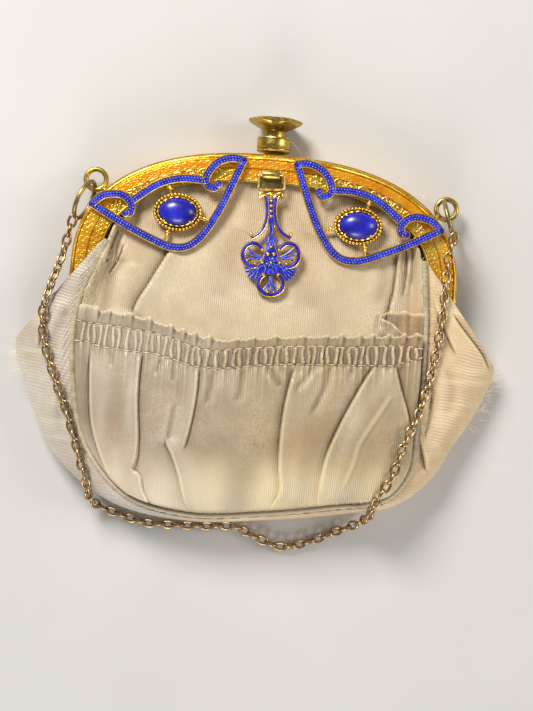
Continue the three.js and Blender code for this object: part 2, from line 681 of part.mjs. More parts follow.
function eyeMount(name) {
  const floor = 0.7;
  const setting = oval([
    [0, 0],
    [0.93, 0],
    [1, 0.6],
    [1, SETTING_HEIGHT - 0.5],
    [0.93, SETTING_HEIGHT],
    [0.82, SETTING_HEIGHT - 0.2],
    [0.82, floor],
    [0, floor],
  ], SETTING_HALF_LENGTH, SETTING_HALF_WIDTH, 18);
  const claws = [0.8, 2.35, 3.95, 5.5].map(claw);
  const posts = MOUNT_POSTS.map((post) => mountPost(post, SIDES[name]));
  return fused([...mountBands(MOUNT_BAND, MOUNT_THICKNESS, name), setting, ...posts, ...claws]);
}

function cabochon() {
  const dome = steps(0, Math.PI / 2, 4).map((turn) => [
    Math.cos(turn),
    0.6 + (STONE_HEIGHT - 0.6) * Math.sin(turn),
  ]);
  return fused([oval([[0, 0], [1, 0], ...dome], STONE_HALF_LENGTH, STONE_HALF_WIDTH, 16)]);
}

// Drop, drawn down from its bail's bar
function mirrored(points) {
  return points.map(([x, y]) => [-x, y]).reverse();
}

function dropStem(inset) {
  const edge = DROP_STEM.map(([x, y]) => [x - inset, y]);
  return new THREE.Shape([...edge, ...mirrored(edge)].map(([x, y]) => new THREE.Vector2(x, y)));
}

function dropGaps(radius, thickness) {
  return DROP_GAPS.flatMap(([x, y]) => [[x, y], [-x, y]])
    .map((centre) => plate(disc(centre, radius), 3 * thickness, 5).translate(0, 0, -thickness));
}

function bail() {
  const half = BAIL_WIDTH / 2;
  const top = BAIL_WIRE / 2;
  const ring = new THREE.Shape()
    .moveTo(-half, top)
    .lineTo(half, top)
    .lineTo(half, top - BAIL_LENGTH)
    .lineTo(-half, top - BAIL_LENGTH);
  const inner = half - BAIL_WIRE;
  ring.holes.push(new THREE.Path()
    .moveTo(-inner, -top)
    .lineTo(-inner, top + BAIL_WIRE - BAIL_LENGTH)
    .lineTo(inner, top + BAIL_WIRE - BAIL_LENGTH)
    .lineTo(inner, -top));
  return plate(ring, BAIL_WIRE).translate(0, 0, -BAIL_WIRE / 2);
}

function dropPlate() {
  const volutes = Object.values(SIDES).map((side) => bandShape(DROP_VOLUTE, VOLUTE_WIDTH, side));
  const lobes = DROP_LOBES.map(({ centre, radius }) => disc(centre, radius));
  const sheets = [dropStem(0), ...volutes, ...lobes].map((shape) => (
    plate(shape, DROP_THICKNESS, 7).translate(0, 0, -DROP_THICKNESS / 2)
  ));
  return fused([bail(), ...sheets], dropGaps(GAP_RADIUS, DROP_THICKNESS));
}

function dropEnamel() {
  const rim = 0.5;
  const lobes = DROP_LOBES.map(({ centre, radius }) => disc(centre, radius - rim));
  const sheets = [dropStem(rim), ...lobes].map((shape) => plate(shape, ENAMEL_THICKNESS, 6));
  const fill = fused(sheets, dropGaps(GAP_RADIUS + 0.2, DROP_THICKNESS));
  return fill.translate(0, 0, DROP_THICKNESS / 2 + ENAMEL_GAP);
}

// The purse
const gilt = () => new THREE.MeshStandardMaterial({ color: 0xcf9a2b, roughness: 0.32, metalness: 1 });
const brass = () => new THREE.MeshStandardMaterial({ color: 0xa88f4a, roughness: 0.38, metalness: 1 });
const bronze = () => new THREE.MeshStandardMaterial({ color: 0x8a6b45, roughness: 0.45, metalness: 1 });
const enamel = () => new THREE.MeshStandardMaterial({ color: 0x2536c4, roughness: 0.25, metalness: 0 });
const stone = () => new THREE.MeshStandardMaterial({ color: 0x1a22c8, roughness: 0.18, metalness: 0 });
const satin = () => new THREE.MeshStandardMaterial({ color: 0xc7b394, roughness: 0.5, metalness: 0 });
const cord = () => new THREE.MeshStandardMaterial({ color: 0xa59f86, roughness: 0.7, metalness: 0 });

const purse = new THREE.Group();

function add(parent, name, geometry, material) {
  const mesh = new THREE.Mesh(geometry, material);
  mesh.name = name;
  parent.add(mesh);
  return mesh;
}

add(purse, 'frame_front', frameFront(), gilt());
add(purse, 'frame_back', frameBack(), gilt());
add(purse, 'clasp_knob', claspKnob(), brass());
add(purse, 'chain', tube(CHAIN_PATH, CHAIN_RADIUS, CHAIN_SIDES, CHAIN_STEPS), bronze());
for (const [name, side] of Object.entries(SIDES)) {
  add(purse, `hinge_rivet_${name}`, hingeRivet(side), gilt());
  add(purse, `jump_ring_${name}`, jumpRing(name), bronze());
  const mount = new THREE.Group();
  mount.position.set(side * MOUNT_X, MOUNT_Y, MOUNT_Z);
  const enamelTop = mountBands(ENAMEL_BAND, ENAMEL_THICKNESS, name);
  const enamelMesh = add(mount, `eye_enamel_${name}`, fused(enamelTop), enamel());
  enamelMesh.position.z = MOUNT_THICKNESS + ENAMEL_GAP;
  add(mount, `eye_mount_${name}`, eyeMount(name), gilt());
  add(mount, `cabochon_${name}`, cabochon(), stone()).position.z = 1;
  purse.add(mount);
}

const drop = new THREE.Group();
drop.position.set(0, STRAP_Y, STRAP_Z);
drop.rotation.set(-degToRad(DROP_TILT), 0, degToRad(DROP_SKEW));
add(drop, 'drop_plate', dropPlate(), gilt());
add(drop, 'drop_enamel', dropEnamel(), enamel());
purse.add(drop);

const PANEL_COLUMNS = steps(-1, 1, 20);
const PANEL_ROWS = [0, 0.035, 0.08, 0.13, 0.18, 0.23, 0.28, 0.34, 0.4, 0.48, 0.58, 0.68, 0.78, 0.88, 1];
const BACK_COLUMNS = steps(-1, 1, 12);
const BACK_ROWS = [0, 0.035, 0.1, 0.17, 0.24, 0.31, 0.42, 0.54, 0.66, 0.78, 0.9, 1];
const SEAM_STOPS = [
  ...BACK_ROWS.map((down) => FOOT_FROM * down),
  ...BACK_COLUMNS.slice(1, -1).map((across) => lerp(FOOT_FROM, FOOT_TO, (across + 1) / 2)),
  ...BACK_ROWS.map((down) => 1 - (1 - FOOT_TO) * down).reverse(),
];
add(purse, 'front_panel', clothWall(frontSheet, PANEL_COLUMNS, PANEL_ROWS), satin());
add(purse, 'back_panel', clothWall(backSheet, BACK_COLUMNS, BACK_ROWS), satin());
add(purse, 'pocket', clothWall(pocketSheet, steps(-1, 1, 4 * RUFFLES), POCKET_ROWS), satin());
add(purse, 'gusset', clothWall(gussetSheet, SEAM_STOPS, steps(0, 1, 8)), satin());
add(purse, 'piping', tube(FRONT_SEAM, PIPING_RADIUS, 6, 36), cord());

// The ground and the middle of the purse's box become its origin
const bounds = new THREE.Box3().setFromObject(purse);
const middle = bounds.getCenter(new THREE.Vector3());
purse.position.set(-middle.x, -middle.y, -bounds.min.z);

export default purse;
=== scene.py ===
# %% [markdown]
# A small evening purse of champagne satin lies on its back. A gilt arched frame with blue enamel mounts
# closes it, and a fine chain carries it. The solids of the purse are loaded first as a fixed frame, and
# every piece below is dressed onto them.

# %% Load the solids
import math

import bpy
import numpy as np
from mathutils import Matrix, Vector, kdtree


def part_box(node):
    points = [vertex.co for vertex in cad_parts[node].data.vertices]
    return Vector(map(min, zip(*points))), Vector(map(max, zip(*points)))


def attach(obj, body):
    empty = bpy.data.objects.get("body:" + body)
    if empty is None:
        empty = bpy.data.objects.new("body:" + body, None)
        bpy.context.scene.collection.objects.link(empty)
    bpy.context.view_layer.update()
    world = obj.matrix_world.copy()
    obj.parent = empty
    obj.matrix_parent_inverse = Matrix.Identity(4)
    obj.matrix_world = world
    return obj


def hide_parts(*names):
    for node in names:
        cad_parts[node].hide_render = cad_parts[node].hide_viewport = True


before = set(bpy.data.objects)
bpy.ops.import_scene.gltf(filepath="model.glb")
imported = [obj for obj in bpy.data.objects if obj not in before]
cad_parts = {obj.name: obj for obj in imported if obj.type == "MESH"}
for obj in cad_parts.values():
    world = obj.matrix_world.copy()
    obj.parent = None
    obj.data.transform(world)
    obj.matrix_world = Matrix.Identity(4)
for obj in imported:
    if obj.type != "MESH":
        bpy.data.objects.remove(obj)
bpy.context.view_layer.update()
print("solids loaded:", len(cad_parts), "nodes")

# %% [markdown]
# The purse is drawn in millimetres from the middle of its hinge line: X across, Y up to the clasp, Z out
# of the front. The frame's solid tells where that point lies in the world, so nothing has to be fitted by
# eye.

# %% Millimetres of the purse to metres of the world
MM = 0.001
EAR_BELOW_HINGE = 3.9
frame_low, frame_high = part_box("frame_front")
HINGE_MIDDLE = np.array([
    (frame_low.x + frame_high.x) / 2,
    frame_low.y + EAR_BELOW_HINGE * MM,
    0,
])


def in_world(points):
    """Points of the purse in millimetres, as world points in metres."""
    return np.asarray(points, float) * MM + HINGE_MIDDLE


print("hinge middle at", HINGE_MIDDLE.round(4).tolist())

# %% [markdown]
# The picture looks straight down on the purse from about half a metre, turned a few degrees. The lens
# follows from the size of the purse in the picture: at the height of the frame one pixel is a third of a
# millimetre. Light comes from three soft boxes and a pale sky, which give the satin and gilding broad
# highlights.

# %% Camera and light
PICTURE_HEIGHT_PX = 711
PIXEL_MM = 0.33
CAMERA_DISTANCE = 520
SHARP_HEIGHT = 12
CAMERA_OVER = (3.05, -24.8, SHARP_HEIGHT + CAMERA_DISTANCE)
CAMERA_TURN = math.radians(4.5)
SENSOR = 36.0


def linked(name, data):
    """A new object for some data, in the scene."""
    made = bpy.data.objects.new(name, data)
    bpy.context.scene.collection.objects.link(made)
    return made


camera = linked("camera", bpy.data.cameras.new("camera"))
camera.location = in_world(CAMERA_OVER)
camera.rotation_euler = (0, 0, CAMERA_TURN)
camera.data.sensor_width = SENSOR
camera.data.lens = SENSOR * CAMERA_DISTANCE / (PICTURE_HEIGHT_PX * PIXEL_MM)
camera.data.clip_start = 0.01
bpy.context.scene.camera = camera


def soft_box(name, place, size, power, tint):
    """A square soft light in metres, aimed at the middle of the purse."""
    light = bpy.data.lights.new(name, "AREA")
    light.size = size
    light.energy = power
    light.color = tint
    made = linked(name, light)
    made.location = place
    made.rotation_euler = (-made.location).to_track_quat("-Z", "Y").to_euler()


DAYLIGHT = (1.0, 0.97, 0.93)
LAMPLIGHT = (1.0, 0.95, 0.88)
soft_box("window_light", (-0.36, 0.6, 0.6), 0.32, 10.0, DAYLIGHT)
soft_box("room_light", (0.8, 0.15, 0.5), 0.4, 3.2, LAMPLIGHT)
soft_box("foot_light", (-0.05, -0.85, 0.4), 0.4, 4.6, DAYLIGHT)

sky = bpy.data.worlds.new("pale_room")
bpy.context.scene.world = sky
sky.use_nodes = True
sky.node_tree.nodes["Background"].inputs["Color"].default_value = (0.92, 0.95, 1.0, 1)
sky.node_tree.nodes["Background"].inputs["Strength"].default_value = 0.2
bpy.context.scene.view_settings.view_transform = "Standard"
print("lens", round(camera.data.lens, 1), "mm")

# %% [markdown]
# Materials are networks of nodes. A few small helpers keep them readable: one adds a node and plugs its
# inputs in by name, one makes a colour from the 0 to 255 values that a picture shows, and the others mix
# colours, give noise, read a value from the mesh or raise the surface.

# %% Helpers for nodes and colours


def plug(tree, made, inputs):
    """Fills a node's inputs; each gets a value or another node's output."""
    for key, value in inputs.items():
        if isinstance(value, bpy.types.NodeSocket):
            tree.links.new(value, made.inputs[key])
        else:
            made.inputs[key].default_value = value


def node(tree, kind, inputs=None, **settings):
    """Adds a node with its settings and inputs."""
    made = tree.nodes.new(kind)
    for key, value in settings.items():
        setattr(made, key, value)
    plug(tree, made, inputs or {})
    return made


def colour(red, green, blue):
    """A picture's colour as linear light."""
    shares = [value / 255 for value in (red, green, blue)]
    return tuple(((s + 0.055) / 1.055) ** 2.4 if s > 0.04 else s / 12.92 for s in shares) + (1,)


def ramp(tree, value, *stops):
    """A colour that runs through the stops, each a place from 0 to 1 and a colour."""
    made = node(tree, "ShaderNodeValToRGB", {"Fac": value})
    elements = made.color_ramp.elements
    while len(elements) < len(stops):
        elements.new(0.5)
    for element, (place, tone) in zip(elements, stops):
        element.position = place
        element.color = tone
    return made.outputs["Color"]


def grey(level):
    return (level, level, level, 1)


def mixed(tree, share, first, second, way="MIX"):
    """Two colours mixed by a share."""
    made = node(tree, "ShaderNodeMix", {0: share, 6: first, 7: second}, data_type="RGBA", blend_type=way)
    return made.outputs[2]


def sum_of(tree, first, second, way="ADD"):
    return node(tree, "ShaderNodeMath", {0: first, 1: second}, operation=way).outputs[0]


def noise(tree, where, scale, detail=3.0, rough=0.55):
    """Soft noise with features about 1/scale metres across."""
    made = node(tree, "ShaderNodeTexNoise", {
        "Vector": where, "Scale": scale, "Detail": detail, "Roughness": rough,
    })
    return made.outputs["Fac"]


def finish(name, roughness, metallic=0.0):
    """A new material: its tree, its shader and the object coordinates."""
    material = bpy.data.materials.new(name)
    material.use_nodes = True
    tree = material.node_tree
    shader = tree.nodes["Principled BSDF"]
    plug(tree, shader, {"Roughness": roughness, "Metallic": metallic})
    where = node(tree, "ShaderNodeTexCoord").outputs["Object"]
    return material, tree, shader, where


def bumped(tree, shader, height, strength, depth):
    """Raises the shader's surface by a height, at most depth metres."""
    bump = node(tree, "ShaderNodeBump", {"Strength": strength, "Distance": depth, "Height": height})
    tree.links.new(bump.outputs["Normal"], shader.inputs["Normal"])


def painted(tree, name):
    """A value that was stored on the points of a mesh."""
    return node(tree, "ShaderNodeAttribute", attribute_name=name).outputs["Fac"]


print("node helpers ready")

# %% [markdown]
# Most pieces are made as plain meshes from arrays of points. Three makers cover them: a wall of cloth
# about a curved sheet, a section swept along a path, and a profile turned round an axis. Each gives a
# closed shell that faces outwards, and several shells can be joined in one piece with more than one
# finish.

# %% Makers of closed shells


def cloth_wall(sheet, thickness):
    """A closed wall about a sheet of points (columns, rows, 3)."""
    off = np.cross(np.gradient(sheet, axis=0), np.gradient(sheet, axis=1))
    off *= thickness / 2 / np.maximum(np.linalg.norm(off, axis=-1, keepdims=True), 1e-9)
    columns, rows = sheet.shape[:2]
    count = columns * rows
    index = np.arange(count).reshape(columns, rows)
    near = np.stack([index[:-1, :-1], index[1:, :-1], index[1:, 1:], index[:-1, 1:]], -1).reshape(-1, 4)
    edge = np.concatenate([index[:-1, 0], index[-1, :-1], index[:0:-1, -1], index[0, :0:-1]])
    following = np.roll(edge, -1)
    rim = np.stack([following, edge, edge + count, following + count], -1)
    points = np.concatenate([(sheet + off).reshape(-1, 3), (sheet - off).reshape(-1, 3)])
    return points, np.concatenate([near, near[:, ::-1] + count, rim]).tolist()


def outward(points, faces):
    """The same shell, turned inside out if its faces point inwards."""
    volume = 0.0
    for face in faces:
        corners = points[face]
        middle = np.cross(corners[1:-1], corners[2:]).sum(axis=0)
        volume += float(corners[0] @ middle)
    return (points, [face[::-1] for face in faces]) if volume < 0 else (points, faces)


def rings_joined(rings, closed=False):
    """A skin over rings of points (rings, sides, 3), with flat ends unless it closes on itself."""
    count, sides = rings.shape[:2]
    index = np.arange(count * sides).reshape(count, sides)
    ahead = np.roll(index, -1, axis=0) if closed else index[1:]
    here = index if closed else index[:-1]
    skin = np.stack([here, np.roll(here, -1, axis=1), np.roll(ahead, -1, axis=1), ahead], -1)
    faces = skin.reshape(-1, 4).tolist()
    if not closed:
        faces += [index[0, ::-1].tolist(), index[-1].tolist()]
    return outward(rings.reshape(-1, 3), faces)


def run_of(path, closed=False):
    """Unit tangents of a path of points."""
    run = np.roll(path, -1, axis=0) - np.roll(path, 1, axis=0)
    if not closed:
        run[0] = path[1] - path[0]
        run[-1] = path[-1] - path[-2]
    return run / np.linalg.norm(run, axis=1, keepdims=True)


def reach_along(path):
    """Length along a path at each of its points."""
    return np.concatenate([[0], np.cumsum(np.linalg.norm(np.diff(path, axis=0), axis=1))])


def swept(path, section, closed=False, up=(0, 0, 1), scale=None):
    """A flat section (side, height) carried along a path, kept upright."""
    run = run_of(path, closed)
    side = np.cross(run, up)
    side /= np.maximum(np.linalg.norm(side, axis=1, keepdims=True), 1e-9)
    rise = np.cross(side, run)
    size = np.ones(len(path)) if scale is None else np.asarray(scale)
    section = np.asarray(section, float)
    rings = path[:, None] + size[:, None, None] * (
        section[None, :, :1] * side[:, None] + section[None, :, 1:] * rise[:, None]
    )
    return rings_joined(rings, closed)


def round_turns(count):
    """Even turns round a circle."""
    return np.linspace(0, 2 * np.pi, count, endpoint=False)


def circle(radius, sides, squash=1.0):
    turn = round_turns(sides)
    return np.stack([radius * np.cos(turn), squash * radius * np.sin(turn)], -1)


def turned(profile, sides, axis="Z", centre=(0, 0, 0), stretch=(1, 1)):
    """A profile of (radius, height) rows turned about an axis through a point."""
    profile = np.asarray(profile, float)
    radius = np.maximum(profile[:, 0], 1e-4)
    ring = circle(1, sides)
    flat = radius[:, None, None] * ring[None] * np.asarray(stretch)
    height = np.broadcast_to(profile[:, 1][:, None, None], (len(profile), sides, 1))
    rings = np.concatenate([flat, height], -1)
    order = {"Z": (0, 1, 2), "Y": (0, 2, 1), "X": (2, 0, 1)}[axis]
    points, faces = rings_joined(rings)
    return outward(points[:, order] + np.asarray(centre, float), faces)


def ball(centre, radius, sides):
    turn = np.linspace(-np.pi / 2, np.pi / 2, sides // 2 + 1)
    return turned(radius * np.stack([np.cos(turn), np.sin(turn)], -1), sides, centre=centre)


print("shell makers ready")

# %% [markdown]
# A piece becomes a Blender object here. Its points are already in place, so the object itself stays at
# the origin. Each piece rides on a body of the purse, takes a material slot, and may stand for CAD nodes,
# which are then hidden. Values stored on its points, such as wear and painted light and shade, can be
# read by its material.

# %% Shells to pieces


def joined(shells):
    """Several shells, each with the number of its finish, as one set of points, faces and numbers."""
    points, faces, tones = [], [], []
    start = 0
    for (corners, sides), tone in shells:
        points.append(corners)
        faces += [[start + i for i in face] for face in sides]
        tones += [tone] * len(sides)
        start += len(corners)
    return np.concatenate(points), faces, tones


def dressed(made, body="purse", stands_for=()):
    """Puts a finished piece on its body and the nodes it stands for."""
    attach(made, body)
    if stands_for:
        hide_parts(*stands_for)
    return made


SHARP_EDGE = math.radians(42)


def piece(name, shells, finishes, body="purse", stands_for=()):
    """One object from shells; finishes are the materials that the shells' numbers mean."""
    points, faces, tones = joined(shells)
    mesh = bpy.data.meshes.new(name)
    mesh.from_pydata(in_world(points).tolist(), [], faces)
    for material in finishes:
        mesh.materials.append(material)
    mesh.polygons.foreach_set("material_index", tones)
    mesh.polygons.foreach_set("use_smooth", [True] * len(faces))
    mesh.set_sharp_from_angle(angle=SHARP_EDGE)
    mesh.update()
    return dressed(linked(name, mesh), body, stands_for)


def store(made, name, values):
    """Keeps a value for every point of a piece, for its material to read."""
    attribute = made.data.attributes.new(name, "FLOAT", "POINT")
    attribute.data.foreach_set("value", np.asarray(values, np.float32).ravel())


print("piece makers ready")

# %% [markdown]
# The pouch hangs between three lines: the front seam with its piping, the edge of the wings that the
# gusset spreads to, and the back seam on the ground. Each row of a short table gives a point of the front
# seam, one of the wing's edge and one of the back seam, and a smooth curve runs through each line's
# points. It is the same table that the solids are built from, so the dressed cloth fits them.

# %% Seams of the pouch
POUCH_OFFSET = 0.6
BACK_FLAT_Z = 0.6
SEAM_ROWS = [
    ((-52.6, 9, 15.9), (-81, -25.5, 7), (-51.2, 10)),
    ((-55.6, 1.5, 16.1), (-80.4, -31, 6.6), (-55, 0)),
    ((-59.3, -8.5, 16.1), (-77.8, -38.4, 6.5), (-58.5, -12)),
    ((-61.2, -20, 16), (-74, -47.6, 6.5), (-60, -25)),
    ((-59.9, -38, 16), (-69.4, -57, 6.5), (-58, -42)),
    ((-55.2, -57, 15.4), (-61, -67.2, 6.5), (-52.5, -59)),
    ((-40, -74, 14.6), (-43.5, -77.8, 6.5), (-37, -73.5)),
    ((-19.5, -78.9, 14.3), (-19, -81.3, 6.5), (-18.5, -76.5)),
    ((4, -76.9, 14.3), (4.5, -79.3, 6.5), (4, -74.5)),
    ((27.5, -73, 14.3), (28.5, -75.7, 6.5), (26, -70.5)),
    ((45.6, -68.8, 14.6), (49, -70.8, 6.5), (43, -66)),
    ((52.4, -59, 15.2), (60.3, -61, 6.5), (50, -56.5)),
    ((53.3, -44, 15.8), (66.2, -50.4, 6.5), (52.5, -43)),
    ((54, -28, 16), (71.4, -41.8, 6.5), (54, -28)),
    ((53.6, -12, 16.1), (75.4, -33.2, 6.5), (54.5, -14)),
    ((52.5, 1.5, 16.1), (77.4, -27.2, 6.6), (53, 0)),
    ((51.4, 10, 15.9), (78, -22.8, 7), (49.8, 10)),
]
FOOT_FROM = 6 / 16
FOOT_TO = 10 / 16


def guides_at(guides, place):
    """The four guide points round each place of a curve, and the step from the second of them."""
    first = np.minimum(place.astype(int), len(guides) - 4)
    return *(guides[first + i] for i in range(4)), (place - first)[..., None]


def eased(near, far, start, end, step):
    """Points of the cubic between two points, with a slope at each."""
    bend = 3 * (far - near) - 2 * start - end
    turn = 2 * (near - far) + start + end
    return near + start * step + bend * step**2 + turn * step**3


def through(points, share):
    """A smooth centripetal curve through points, at shares from 0 to 1 of its stretches."""
    points = np.asarray(points, float)
    share = np.clip(np.asarray(share, float), 0, 1)
    guides = np.vstack([2 * points[0] - points[1], points, 2 * points[-1] - points[-2]])
    p0, p1, p2, p3, step = guides_at(guides, share * (len(points) - 1))
    d0, d1, d2 = (
        np.sqrt(np.linalg.norm(b - a, axis=-1))[..., None] for a, b in ((p0, p1), (p1, p2), (p2, p3))
    )
    start = ((p1 - p0) / d0 - (p2 - p0) / (d0 + d1) + (p2 - p1) / d1) * d1
    end = ((p2 - p1) / d1 - (p3 - p1) / (d1 + d2) + (p3 - p2) / d2) * d1
    return eased(p1, p2, start, end, step)


def seam_points(rows, height=()):
    """The points of one line of the pouch; those on the ground get their height here."""
    return np.array([row + height for row in rows]) + (POUCH_OFFSET, 0, 0)


front_rows, wing_rows, back_rows = zip(*SEAM_ROWS)
FRONT_SEAM = seam_points(front_rows)
WING_EDGE = seam_points(wing_rows)
BACK_SEAM = seam_points(back_rows, (BACK_FLAT_Z,))


def beside(seam, share, gap):
    """Points beside a seam, to the inner side where the gap is positive."""
    share = np.asarray(share, float)
    nudge = 1e-4
    run = through(seam, share + nudge) - through(seam, share - nudge)
    run /= np.hypot(run[..., :1], run[..., 1:2])
    shift = np.stack([-run[..., 1], run[..., 0], np.zeros(share.shape)], -1)
    return through(seam, share) + gap * shift


def smooth(start, end, value):
    """0 before start, 1 after end and a soft step between."""
    share = np.clip((np.asarray(value, float) - start) / (end - start), 0, 1)
    return share * share * (3 - 2 * share)


print("front seam from", FRONT_SEAM[0].round(1).tolist(), "to", FRONT_SEAM[-1].round(1).tolist())

# %% [markdown]
# The frame is a superelliptic arch. The same formula places the frame's rails, the ornaments on it and
# the mouth edge of each panel, which is tucked behind the frame's plate.

# %% The arch of the frame
FRAME_HALF_WIDTH = 63.8
FRAME_RISE = 41.4
ARCH_POWER = 2.4
FRAME_BAND = 9.6
TUCKED_INSET = FRAME_BAND - 2
FREE_INSET = FRAME_BAND + 1.1
MOUTH_TURN = 0.89


def arch_outward(turn):
    """Unit vectors that point out of the arch, at turns from 0 (right foot) to 1 (left foot)."""
    wide, high = np.cos(np.pi * turn), np.sin(np.pi * turn)
    slope = 2 * (ARCH_POWER - 1) / ARCH_POWER
    out = np.stack([
        np.sign(wide) * np.abs(wide) ** slope / FRAME_HALF_WIDTH,
        np.abs(high) ** slope / FRAME_RISE,
    ], -1)
    return out / np.linalg.norm(out, axis=-1, keepdims=True)


def arch_point(turn, inset):
    """Points of the arch, moved inwards by an inset."""
    turn = np.asarray(turn, float)
    wide, high = np.cos(np.pi * turn), np.sin(np.pi * turn)
    share = 2 / ARCH_POWER
    point = np.stack([
        FRAME_HALF_WIDTH * np.sign(wide) * np.abs(wide) ** share,
        FRAME_RISE * np.abs(high) ** share,
    ], -1)
    return point - arch_outward(turn) * np.broadcast_to(inset, turn.shape)[..., None]


def even_turns(start, end, count, inset=0.0):
    """Turns of the arch that lie at even steps along it."""
    fine = np.linspace(start, end, 4000)
    length = reach_along(arch_point(fine, inset))
    return np.interp(np.linspace(0, length[-1], count), length, fine)


print("the arch is", reach_along(arch_point(np.linspace(0, 1, 900), 0))[-1].round(1), "mm round")

# %% [markdown]
# Old silk satin has a soft sheen, fine ribs from its thick weft and brown stains. The grooves between the
# ribs get painted shade, and each cloth gets a painted tint of light, one at the left and another at the
# right.
# The finish reads values that a cloth stores on its points: where the ribs run, the painted shade in creases
# and hollows, the pale crests, partly wear and partly painted highlight, and the painted sheen where a lap
# shines. So the marks lie in the real folds, and not in a flat picture.

# %% Satin
RIB_PITCH = 0.68
RIB_RELIEF = 0.38
RIB_DEPTH = 0.00022
SATIN_ROUGHNESS = 0.38
TINT_SPAN = 0.125
STAIN_TONE = (192, 152, 106)
SHADE_TONE = (122, 94, 66)
SHEEN_HIGHLIGHT_TONE = (228, 218, 203)
WEAR_AND_LIGHT_TONE = (240, 225, 194)
SHEEN_TINT = (1.0, 0.93, 0.82, 1)
UNTINTED = (255, 255, 255)


def satin(name, tones, left, right, groove_shade=0.22, sheen=0.35):
    """Worn satin in three tones (shaded, middle, light), tinted by painted light at the left and right."""
    material, tree, shader, where = finish(name, SATIN_ROUGHNESS)
    shaded, middle, light = (colour(*tone) for tone in tones)
    cloud = noise(tree, where, 55, 4, 0.6)
    cloth = ramp(tree, cloud, (0.32, shaded), (0.5, middle), (0.68, light))
    stain = ramp(tree, noise(tree, where, 34, 5, 0.62), (0.52, grey(0)), (0.7, grey(0.55)))
    cloth = mixed(tree, stain, cloth, colour(*STAIN_TONE))
    weft_turn = sum_of(tree, painted(tree, "weft"), 2 * math.pi / RIB_PITCH, "MULTIPLY")
    rib = node(tree, "ShaderNodeMath", {0: weft_turn}, operation="SINE").outputs[0]
    slub = noise(tree, where, 420, 2, 0.6)
    weave = sum_of(tree, sum_of(tree, rib, 0.5, "MULTIPLY"), slub)
    # Painted shade in the grooves between the ribs, mixed towards the shaded tone.
    cloth = mixed(tree, ramp(tree, weave, (0.1, grey(groove_shade)), (0.9, grey(0))), cloth, shaded)
    fibres = noise(tree, where, 1500, 2, 0.75)
    cloth = mixed(tree, ramp(tree, fibres, (0.36, grey(0.7)), (0.6, grey(0))), cloth, shaded)
    # Painted shade: creases, hollows and shaded sides darken the cloth. The pocket also stores real dark
    # specks here.
    cloth = mixed(tree, painted(tree, "crease_shade"), cloth, colour(*SHADE_TONE), "MULTIPLY")
    # Painted sheen: a broad painted highlight beside the laps, and in streaks on the wings.
    cloth = mixed(tree, painted(tree, "painted_sheen"), cloth, colour(*SHEEN_HIGHLIGHT_TONE))
    # Pale crests: partly wear, partly painted highlight on ridges, ribs, ruffles and towards the foot.
    cloth = mixed(tree, painted(tree, "crest_wear_and_light"), cloth, colour(*WEAR_AND_LIGHT_TONE))
    # A painted tint of light, one at the left of the purse and another at the right.
    side = node(tree, "ShaderNodeSeparateXYZ", {"Vector": where}).outputs["X"]
    side = sum_of(tree, sum_of(tree, side, 1 / TINT_SPAN, "MULTIPLY"), 0.5)
    light_tint = ramp(tree, side, (0.26, colour(*left)), (0.52, colour(*right)))
    glossy, dull = grey(SATIN_ROUGHNESS - 0.09), grey(SATIN_ROUGHNESS + 0.12)
    plug(tree, shader, {
        "Base Color": mixed(tree, 1.0, cloth, light_tint, "MULTIPLY"),
        "Roughness": ramp(tree, noise(tree, where, 140, 3), (0.3, glossy), (0.7, dull)),
        "Sheen Weight": sheen, "Sheen Roughness": 0.4, "Sheen Tint": SHEEN_TINT,
    })
    bumped(tree, shader, weave, RIB_RELIEF, RIB_DEPTH)
    return material


front_satin = satin(
    "front_satin", ((187, 168, 136), (206, 188, 156), (221, 206, 175)), UNTINTED, (255, 253, 250),
)
pocket_satin = satin(
    "pocket_satin", ((154, 138, 117), (173, 158, 137), (191, 179, 161)), UNTINTED, (255, 250, 232),
)
gusset_satin = satin(
    "gusset_satin", ((208, 184, 169), (227, 205, 190), (244, 225, 214)), (228, 240, 238), (255, 252, 218),
    groove_shade=0.4, sheen=0.5,
)
print("three satins ready")

# %% [markdown]
# A fold is a line on the cloth. On one side the cloth lies over and stands up, and on the other it dips
# under it. Each row gives the line in millimetres, the side that laps over, how high it stands, how far
# it reaches and how deep it dips. The side is 1 for the right hand of someone who follows the line, -1
# for the left, and 0 for a plain valley, or for a ridge where the depth is negative. Every mark is a soft
# hump across the line. It stores painted shade in the fold and under the lap, a pale crest on the lap that
# is partly wear and partly painted highlight, a painted sheen beside it, pale shoulders beside a valley and
# a pale line along a ridge.

# %% Folds


def hump(value, middle, width):
    """A soft hump, 1 at its middle."""
    return np.exp(-(((value - middle) / width) ** 2))


def along_line(flat, line):
    """Signed distance of flat points from a line, positive on its right, and the share along the line."""
    shares = np.linspace(0, 1, 28)
    curve = through(np.column_stack([np.asarray(line, float), np.zeros(len(line))]), shares)[:, :2]
    nearest = np.full(flat.shape[:-1], 1e9)
    side, share = np.zeros(flat.shape[:-1]), np.zeros(flat.shape[:-1])
    for start, end, from_share in zip(curve[:-1], curve[1:], shares[:-1]):
        step = end - start
        place = np.clip(((flat - start) @ step) / (step @ step), 0, 1)
        off = flat - start - place[..., None] * step
        distance = np.hypot(off[..., 0], off[..., 1])
        closer = distance < nearest
        right = step[1] * off[..., 0] - step[0] * off[..., 1]
        nearest = np.where(closer, distance, nearest)
        side = np.where(closer, np.sign(right), side)
        share = np.where(closer, from_share + place * shares[1], share)
    return side * nearest, share


def rumple(flat, size, seed):
    """Gentle unevenness of the cloth, between about -1 and 1, from a few crossed waves."""
    pick = np.random.default_rng(seed)
    total = np.zeros(flat.shape[:-1])
    for _ in range(9):
        heading = pick.uniform(0, np.pi)
        length = size * pick.uniform(0.6, 1.7)
        wave = flat[..., 0] * np.cos(heading) + flat[..., 1] * np.sin(heading)
        total += np.sin(2 * np.pi * wave / length + pick.uniform(0, 6.28))
    return total / 4.5


